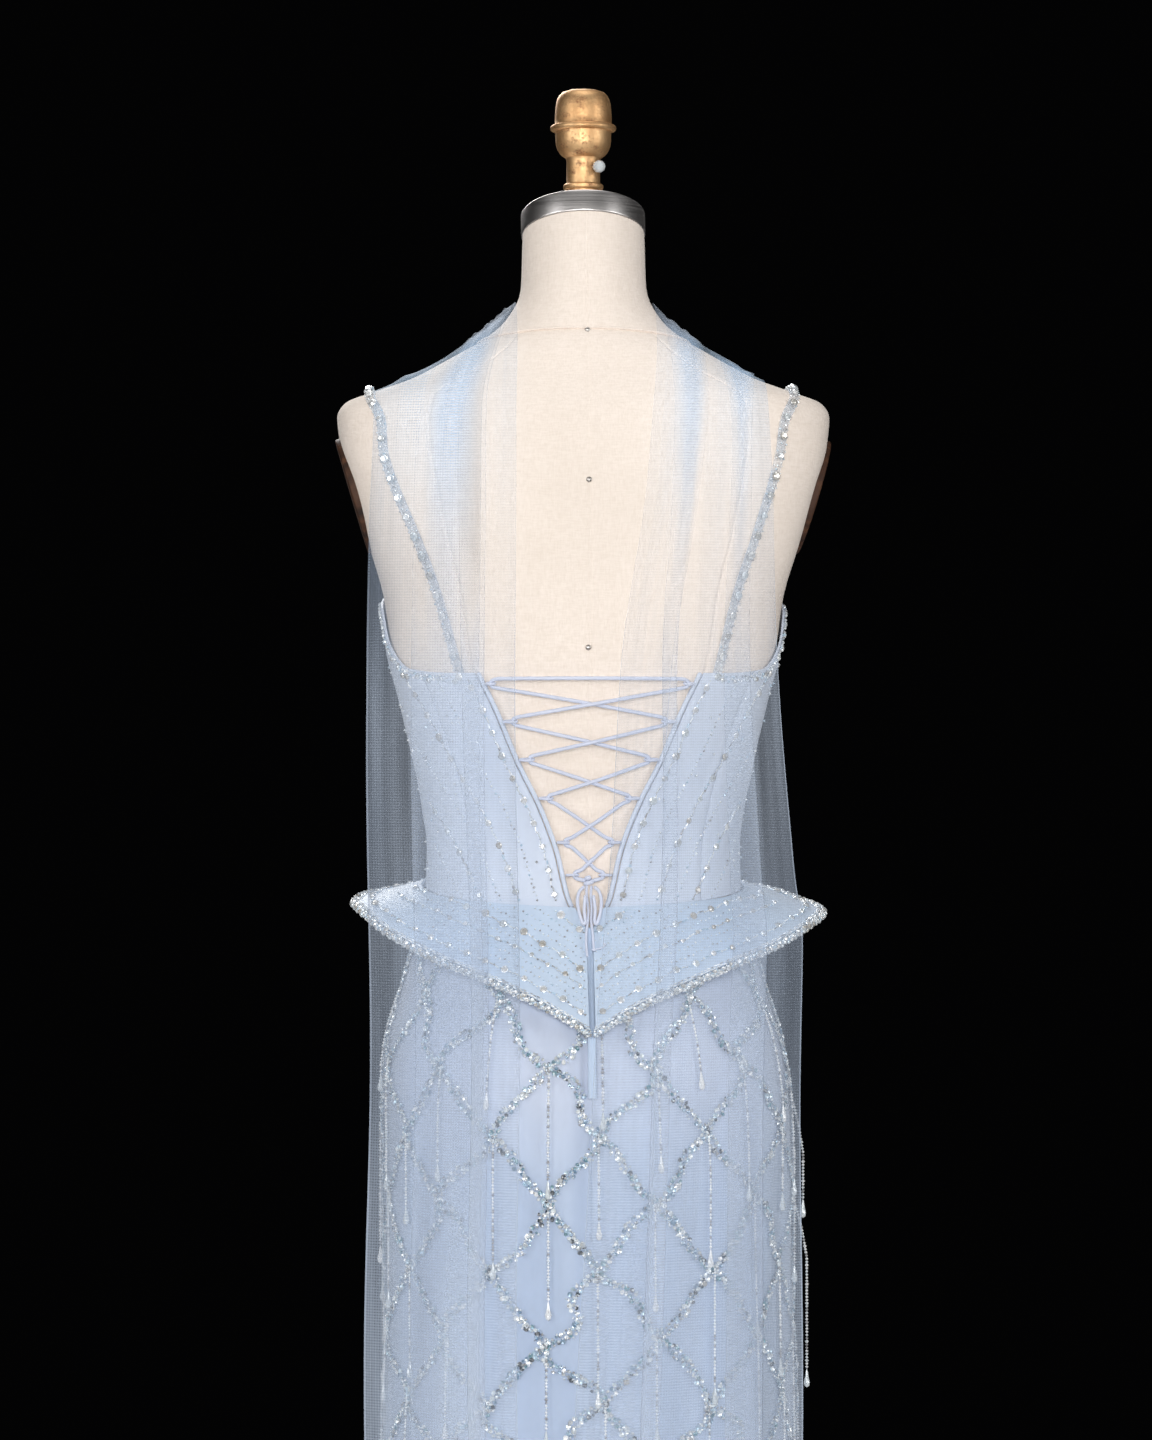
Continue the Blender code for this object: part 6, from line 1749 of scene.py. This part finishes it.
STONE_REACH, FINE_REACH = 0.150, 0.125   # how far from the middle the inner rows go
ROW_STEP = 0.0054
ROW_STONES = dict(lift=0.0009, side=0.0004, start=0.004, vary=0.15)
ROW_SEEDS = dict(every=ROW_STEP, size=0.00105, lift=0.0006, side=0.0004, spin=None, vary=0.2)
ROW_BUGLES = dict(every=ROW_STEP, size=0.0014, lift=0.0006, side=0.0004, start=ROW_STEP / 2, tilt=0.35,
                  vary=0.2)
ROW_FINE_SEEDS = dict(every=0.0038, size=0.0008, lift=0.0005, side=0.0005, spin=None, vary=0.3)
ROW_SAMPLES, ROW_LEVELS, ROW_FEWEST = 420, 24, 12


def peplum_row(side, inset):
    """The peplum's face along a line `inset` from its edge, measured on the cloth: points and directions."""
    turn = np.linspace(0.012, math.pi - 0.012, ROW_SAMPLES)
    levels = np.repeat(np.linspace(0, 1, ROW_LEVELS)[:, None], ROW_SAMPLES, axis=1)
    run = distances(peplum_layer(levels, np.broadcast_to(side * turn, levels.shape), PEPLUM)[0])
    reach = run[-1] - inset - 0.0005 * np.sin(turn * 23 + inset * 900)
    down = np.array([np.interp(reach[k], run[:, k], levels[:, 0]) for k in range(ROW_SAMPLES)])
    keep = (run[-1] - inset > 0.002) & (turn > peplum_first_turn(down) + 0.010)
    return peplum_layer(down[keep], side * turn[keep], PEPLUM)


def make_peplum_beads():
    """Rows that follow the peplum's edge: stones with seeds and bugles between them, and rows of fine seeds."""
    seeds, bugles, stones = [], [], []
    for _, side in SIDES:
        for inset, size, every in STONE_ROWS:
            line, outs = peplum_row(side, inset)
            if inset > STONE_ROWS[0][0]:
                near = (np.abs(line[:, 0]) < STONE_REACH) & (line[:, 1] > 0)
                line, outs = line[near], outs[near]
            stones.append(placed_along(line, outs, every, size, **ROW_STONES))
            seeds.append(placed_along(line, outs, **ROW_SEEDS))
            bugles.append(placed_along(line, outs, **ROW_BUGLES))
        for inset in FINE_ROWS:
            line, outs = peplum_row(side, inset)
            near = np.abs(line[:, 0]) < FINE_REACH
            for part in (near & (line[:, 1] > 0), near & (line[:, 1] < 0)):
                if part.sum() > ROW_FEWEST:
                    seeds.append(placed_along(line[part], outs[part], **ROW_FINE_SEEDS))
    sew("peplum_seeds", "seeds", seeds)
    sew("peplum_bugles", "bugles", bugles)
    sew("peplum_stones", "stones", stones)


# Scarf ---
SCARF_EDGES = {
    "left": ((0.06, 0.060, 0.205), (0.30, 0.056, 0.178), (0.60, 0.056, 0.169), (1.20, 0.057, 0.169),
             (1.38, 0.056, 0.165), (1.47, 0.0535, 0.1635)),
    "right": ((0.06, -0.028, 0.190), (0.30, -0.024, 0.166), (0.61, -0.019, 0.1565), (0.845, -0.002, 0.160),
              (0.98, 0.008, 0.1624), (1.037, 0.013, 0.1558), (1.193, 0.024, 0.1452), (1.32, 0.042, 0.1401),
              (1.47, 0.0535, 0.1370)),
}                                        # z, the inner edge's and the outer edge's distance from the middle
# the cloth's own way across, and where that lies between the inner edge (0) and the outer edge (1)
SCARF_LOW = {"left": ((0.0, 1.0), (0.30, 0.228), (0.49, 0.71), (0.69, 0.195), (0.76, 0.33), (1.0, 0.0)),
             "right": ((0.0, 1.0), (0.20, 0.64), (0.30, 0.83), (0.56, 0.27), (0.62, 0.37), (1.0, 0.0))}
SCARF_MIDDLE = {"left": ((0.0, 1.0), (0.30, 0.228), (0.49, 0.71), (0.69, 0.195), (0.76, 0.43), (1.0, 0.0)),
                "right": ((0.0, 1.0), (0.20, 0.66), (0.30, 0.84), (0.56, 0.14), (0.70, 0.50), (1.0, 0.0))}
SCARF_HIGH = {"left": ((0.0, 1.0), (0.30, 0.06), (0.49, 0.34), (0.69, 0.02), (0.76, 0.18), (1.0, 0.0)),
              "right": ((0.0, 1.0), (0.20, 0.52), (0.30, 0.96), (0.56, 0.04), (0.70, 0.44), (1.0, 0.0))}
SCARF_FOLD_HEIGHTS = {"left": (0.11, 0.55), "right": (0.13, 0.40)}     # below the shoulder: middle, low
SCARF_NECK, SCARF_BOTTOM, SCARF_PEPLUM, SCARF_LIFT = 1.4700, 0.060, 0.930, 0.35
SCARF_LINES, SCARF_SAMPLES, SCARF_COLUMNS, SCARF_LEVELS = 33, 150, 164, 196
LAYER_LIFT, RIDGE_LAYERS = 0.0014, 0.35      # between folded layers, and its share on the shoulder's ridge
# a pleat's place and width across the cloth, its height, and how much of it shows at the shoulder and lower
Pleat = namedtuple("Pleat", "across width height high low")
PLEATS = {
    "left": ((0.07, 0.016, 0.0016, 1.0, 0.5), (0.14, 0.020, -0.0015, 1.0, 0.8),
             (0.22, 0.014, 0.0018, 1.0, 0.3), (0.31, 0.022, -0.0016, 0.8, 1.0),
             (0.45, 0.015, 0.0020, 1.2, 0.4), (0.52, 0.013, -0.0016, 1.2, 0.5),
             (0.58, 0.012, 0.0018, 1.2, 0.3), (0.71, 0.020, 0.0016, 1.0, 0.7),
             (0.80, 0.017, -0.0017, 1.0, 0.6), (0.90, 0.014, 0.0015, 1.0, 0.4)),
    "right": ((0.06, 0.015, 0.0015, 1.0, 0.7), (0.13, 0.018, -0.0016, 1.0, 0.4),
              (0.20, 0.013, 0.0017, 1.1, 0.6), (0.33, 0.014, -0.0016, 1.2, 0.8),
              (0.47, 0.018, 0.0020, 1.2, 0.5), (0.54, 0.014, -0.0017, 1.2, 0.7),
              (0.61, 0.016, 0.0019, 1.2, 0.3), (0.70, 0.020, -0.0016, 1.0, 0.9),
              (0.80, 0.016, 0.0017, 1.0, 0.5), (0.91, 0.014, -0.0014, 1.0, 0.4)),
}
UNDER_SCARF = ["form_cover", "bodice_back_left", "bodice_back_right", "bodice_side_left", "bodice_side_right",
               "strap_left", "strap_right", "lace", "lace_bow_left", "lace_bow_right", "peplum_back_left",
               "peplum_back_right", "peplum_edge_left", "peplum_edge_right", "net_back_left",
               "net_back_right", "net_front"]


def ridge_height(x):
    """The height of the shoulder's ridge at a distance from the middle."""
    place = np.linspace(3.0, NECK_SEAM_PLACE, 400)
    ridge = shoulder_point(place, np.full(400, QUARTER))
    return float(np.interp(-x, -ridge[:, 0], ridge[:, 2]))


# how far the scarf's ridge sags below a straight line: place across, depth
RIDGE_SAG = {"left": ((0.0, 0.0), (0.1, 0.0010), (0.3, 0.0034), (0.5, 0.0060), (0.8, 0.0050), (0.92, 0.0038),
                      (1.0, 0.0020)),
             "right": ((0.0, 0.0), (0.08, 0.0028), (0.17, 0.0050), (0.27, 0.0074), (0.36, 0.0078),
                       (0.45, 0.0070), (0.6, 0.0056), (0.75, 0.0050), (0.9, 0.0036), (1.0, 0.0020))}


def scarf_ridge(across, name):
    """The scarf's inside face where it crosses the shoulder: a sagging line from the neck's side."""
    _, inner, outer = SCARF_EDGES[name][-1]
    sag = np.interp(across, *np.array(RIDGE_SAG[name]).T)
    return mix(inner, outer, across), mix(SCARF_NECK, ridge_height(outer) + SCARF_EASE, across) - sag


def scarf_x(z, across, name):
    ridge_x, ridge_z = scarf_ridge(across, name)
    inner, outer = table(SCARF_EDGES[name])(z)
    return mix(ridge_x, mix(inner, outer, across), smooth_step((ridge_z - z) / 0.10))


def taut_line(points):
    """The straight runs down a profile of (z, y) points, top to bottom, that pass behind all of them."""
    line = []
    for z, y in points:
        while len(line) > 1:
            (z1, y1), (z2, y2) = line[-2:]
            if (y2 - y1) * (z1 - z) > (y - y1) * (z1 - z2):
                break
            line.pop()
        line.append((z, y))
    return np.array(line)


def hanging_line(z, y):
    """Taut down to the peplum; below it, between a plumb fall and taut, on what stands out further."""
    plumb = np.maximum.accumulate(y)
    above = int((z >= SCARF_PEPLUM).sum())
    upper, lower = taut_line(zip(z[:above], plumb[:above])), taut_line(zip(z[above - 1:], plumb[above - 1:]))
    found = np.interp(-z, -upper[:, 0], upper[:, 1])
    below = mix(plumb, np.interp(-z, -lower[:, 0], lower[:, 1]), SCARF_LIFT)
    return np.where(np.arange(len(z)) < above, found, below)


def hanging_lines(tree, name, side):
    """Lines down a back panel on all that is under it: points and outward directions, by place across."""
    share = np.linspace(0, 1, SCARF_LEVELS)
    points, outs = [], []
    for across in np.linspace(0, 1, SCARF_LINES):
        top = float(scarf_ridge(across, name)[1]) - SCARF_EASE
        z = mix(top, SCARF_BOTTOM, (np.arange(SCARF_SAMPLES + 1) / SCARF_SAMPLES) ** 1.6)
        x = scarf_x(z, across, name)
        y = np.zeros_like(z)
        for at in range(1, len(z)):
            found = tree.ray_cast(Vector((side * x[at], 1.0, z[at])), Vector((0, -1, 0)))[0]
            y[at] = max(found.y, 0.0) if found else 0.0
        line = evenly(np.stack([z, hanging_line(z, y)], -1), SCARF_LEVELS)
        line = np.concatenate([line[:1], softened(line, 2.5)[1:]])
        slope = np.arctan2(np.gradient(line[:, 1]), -np.gradient(line[:, 0]))
        slope = mix(QUARTER, slope, smooth_step(share / 0.03))
        points.append(np.stack([side * scarf_x(line[:, 0], across, name), line[:, 1], line[:, 0]], -1))
        outs.append(np.stack([np.zeros_like(slope), np.cos(slope), np.sin(slope)], -1))
    points, outs = np.array(points), np.array(outs)
    points[..., 1] = softened(points[..., 1], 1.0)
    return points, outs


def fold_map(rows, way):
    """Where the cloth lies across, with its folds rounded, by its own way across."""
    rows = np.array(rows)
    fine = np.linspace(0, 1, 801)
    soft = softened(np.interp(fine, rows[:, 0], rows[:, 1]), 7.0)
    return np.clip(np.interp(way, fine, soft), 0.0, 1.0)


def fold_lift(name, way):
    """How far each of the folded layers lies over the one below it."""
    turns = [row[0] for row in SCARF_LOW[name][1:-1]]
    return LAYER_LIFT * sum(smooth_step((way - at) / 0.05 + 0.5) for at in turns)


def pleating(name, way, down):
    """Soft uneven pleats: `down` is 0 at the shoulder, and 1 where they have opened out."""
    total = np.zeros(np.broadcast(way, down).shape)
    for at, pleat in enumerate(Pleat(*row) for row in PLEATS[name]):
        centre = pleat.across + 0.012 * np.sin(5.0 * down + 2.1 * at) * down
        width = pleat.width * (1 + 0.9 * down)
        strength = mix(pleat.high, pleat.low, smooth_step(down * 1.4))
        total += pleat.height * strength * np.exp(-((way - centre) / width) ** 2)
    return total


def make_scarf_back(tree):
    way = np.linspace(0, 1, SCARF_COLUMNS + 1)
    share = np.linspace(0, 1, SCARF_LEVELS)
    for name, side in SIDES:
        points, outs = hanging_lines(tree, name, side)
        middle, low = (smooth_step(share * 1.5 / reach)[:, None] for reach in SCARF_FOLD_HEIGHTS[name])
        across = mix(fold_map(SCARF_HIGH[name], way)[None], fold_map(SCARF_MIDDLE[name], way)[None], middle)
        across = mix(across, fold_map(SCARF_LOW[name], way)[None], low)
        place = across * (SCARF_LINES - 1)
        at = np.clip(place.astype(int), 0, SCARF_LINES - 2)
        t = (place - at)[..., None]
        level = np.arange(SCARF_LEVELS)[:, None]
        base = mix(points[at, level], points[at + 1, level], t)
        out = mix(outs[at, level], outs[at + 1, level], t)
        pleats = pleating(name, way[None], np.clip(share * 2.2, 0, 1)[:, None])
        lift = SCARF_EASE + fold_lift(name, way)[None] + pleats
        lift += 0.0012 * np.sin(way * 31 + 3 * np.sin(share[:, None] * 9)) * smooth_step(share[:, None] * 3)
        lift = np.where(level == 0, SCARF_EASE + RIDGE_LAYERS * fold_lift(name, way)[None], lift)
        grid = base + out * lift[..., None]
        grid[0, :, 1] = 0.0
        sway = 0.0016 * np.sin(share * 11 + side) + 0.0012 * np.sin(share * 23 + 2 * side)
        grid[..., 0] += (sway * smooth_step(share * 4))[:, None]
        uv = np.stack(np.broadcast_arrays(way * TULLE_WIDTH[name], grid[..., 2]), -1)
        grid, uv = grid[::-1], uv[::-1]
        if side > 0:
            grid, uv = grid[:, ::-1], uv[:, ::-1]
        panel = sheet_mesh("scarf_tulle_" + name, grid, TULLE_LEFT if side > 0 else TULLE_RIGHT, uv)
        panel.visible_shadow = False
        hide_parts("scarf_" + name)
        declare_sheet(grid)


COWL_FOLDS = ((0.10, 0.045, 0.0050), (0.26, 0.060, 0.0068), (0.42, 0.050, 0.0045), (0.57, 0.055, 0.0062),
              (0.73, 0.045, 0.0050), (0.88, 0.050, 0.0058))           # across, width, height
COWL_TOP, COWL_BOTTOM = (10.3, 10.3, 8.7), (5.3, 6.1, -0.35)          # rings: left, right and front
COWL_COLUMNS = 130


def make_scarf_front():
    """Soft folds across the chest, gathered up at the shoulders, where they meet the two ends' own."""
    way = np.linspace(0, 1, SCARF_COLUMNS + 1)[:, None]
    turn = np.linspace(QUARTER, 3 * QUARTER, COWL_COLUMNS + 1)[None]
    drop = np.clip(np.sin(turn - QUARTER), 0, 1) ** 1.2
    left = turn < 2 * QUARTER
    high = np.where(left, fold_map(SCARF_HIGH["left"], way), fold_map(SCARF_HIGH["right"], way))
    across = mix(high, 1 - way, smooth_step(drop / 0.55))
    fold = sum(high_ * np.exp(-((across - centre - 0.02 * np.sin(2 * turn + centre * 9)) / width) ** 2)
               for centre, width, high_ in COWL_FOLDS)
    lift = np.where(left, fold_lift("left", way), fold_lift("right", way)) * smooth_step(1 - drop / 0.7)
    pleats = np.where(left, pleating("left", way, drop * 0.6), pleating("right", way, drop * 0.6))
    pleats = pleats * smooth_step(drop * 8) * (1 - 0.6 * drop)
    out = SCARF_EASE + fold * smooth_step(drop * 1.6) + lift + pleats
    shoulder = mix(COWL_TOP[0], np.where(left, COWL_BOTTOM[0], COWL_BOTTOM[1]), across)
    place = mix(shoulder, mix(COWL_TOP[2], COWL_BOTTOM[2], across), drop)
    turns = np.broadcast_to(turn, place.shape)
    above = moved_out(shoulder_point, np.maximum(place, 0.0), turns, out)
    below = moved_out(form_point, ARM_HEIGHT + np.minimum(place, 0.0) * RING_STEP, turns, out)
    point = np.where((place >= 0)[..., None], above, below)
    ridges = []
    for name, side in SIDES:
        x, z = scarf_ridge(across, name)
        ridges.append(np.stack([side * x, np.zeros_like(x), z + RIDGE_LAYERS * fold_lift(name, way)], -1))
    ridge = np.where(left[..., None], ridges[0], ridges[1])
    grid = mix(point, ridge, smooth_step(1 - 2.2 * drop)[..., None])
    run = distances(grid[len(grid) // 2])
    uv = np.stack(np.broadcast_arrays(way * TULLE_WIDTH["front"], run), -1)
    panel = sheet_mesh("scarf_tulle_front", grid, TULLE_FRONT, uv)
    panel.visible_shadow = False
    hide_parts("scarf_front")
    declare_sheet(grid)


def make_scarf():
    loops = ["lace_loop_%s_%d" % (name, number) for name, _ in SIDES for number in range(1, 7)]
    make_scarf_back(node_tree(UNDER_SCARF + loops))
    make_scarf_front()


make_camera()
make_studio()
make_torso()
make_pins()
make_finial()
make_neck_cap()
make_arm_plates()
dress_nodes()
make_bow()
make_loops()
make_lace()
make_skirt()
make_lattice()
make_placket()
make_bodice()
make_straps()
make_peplum()
make_scarf()
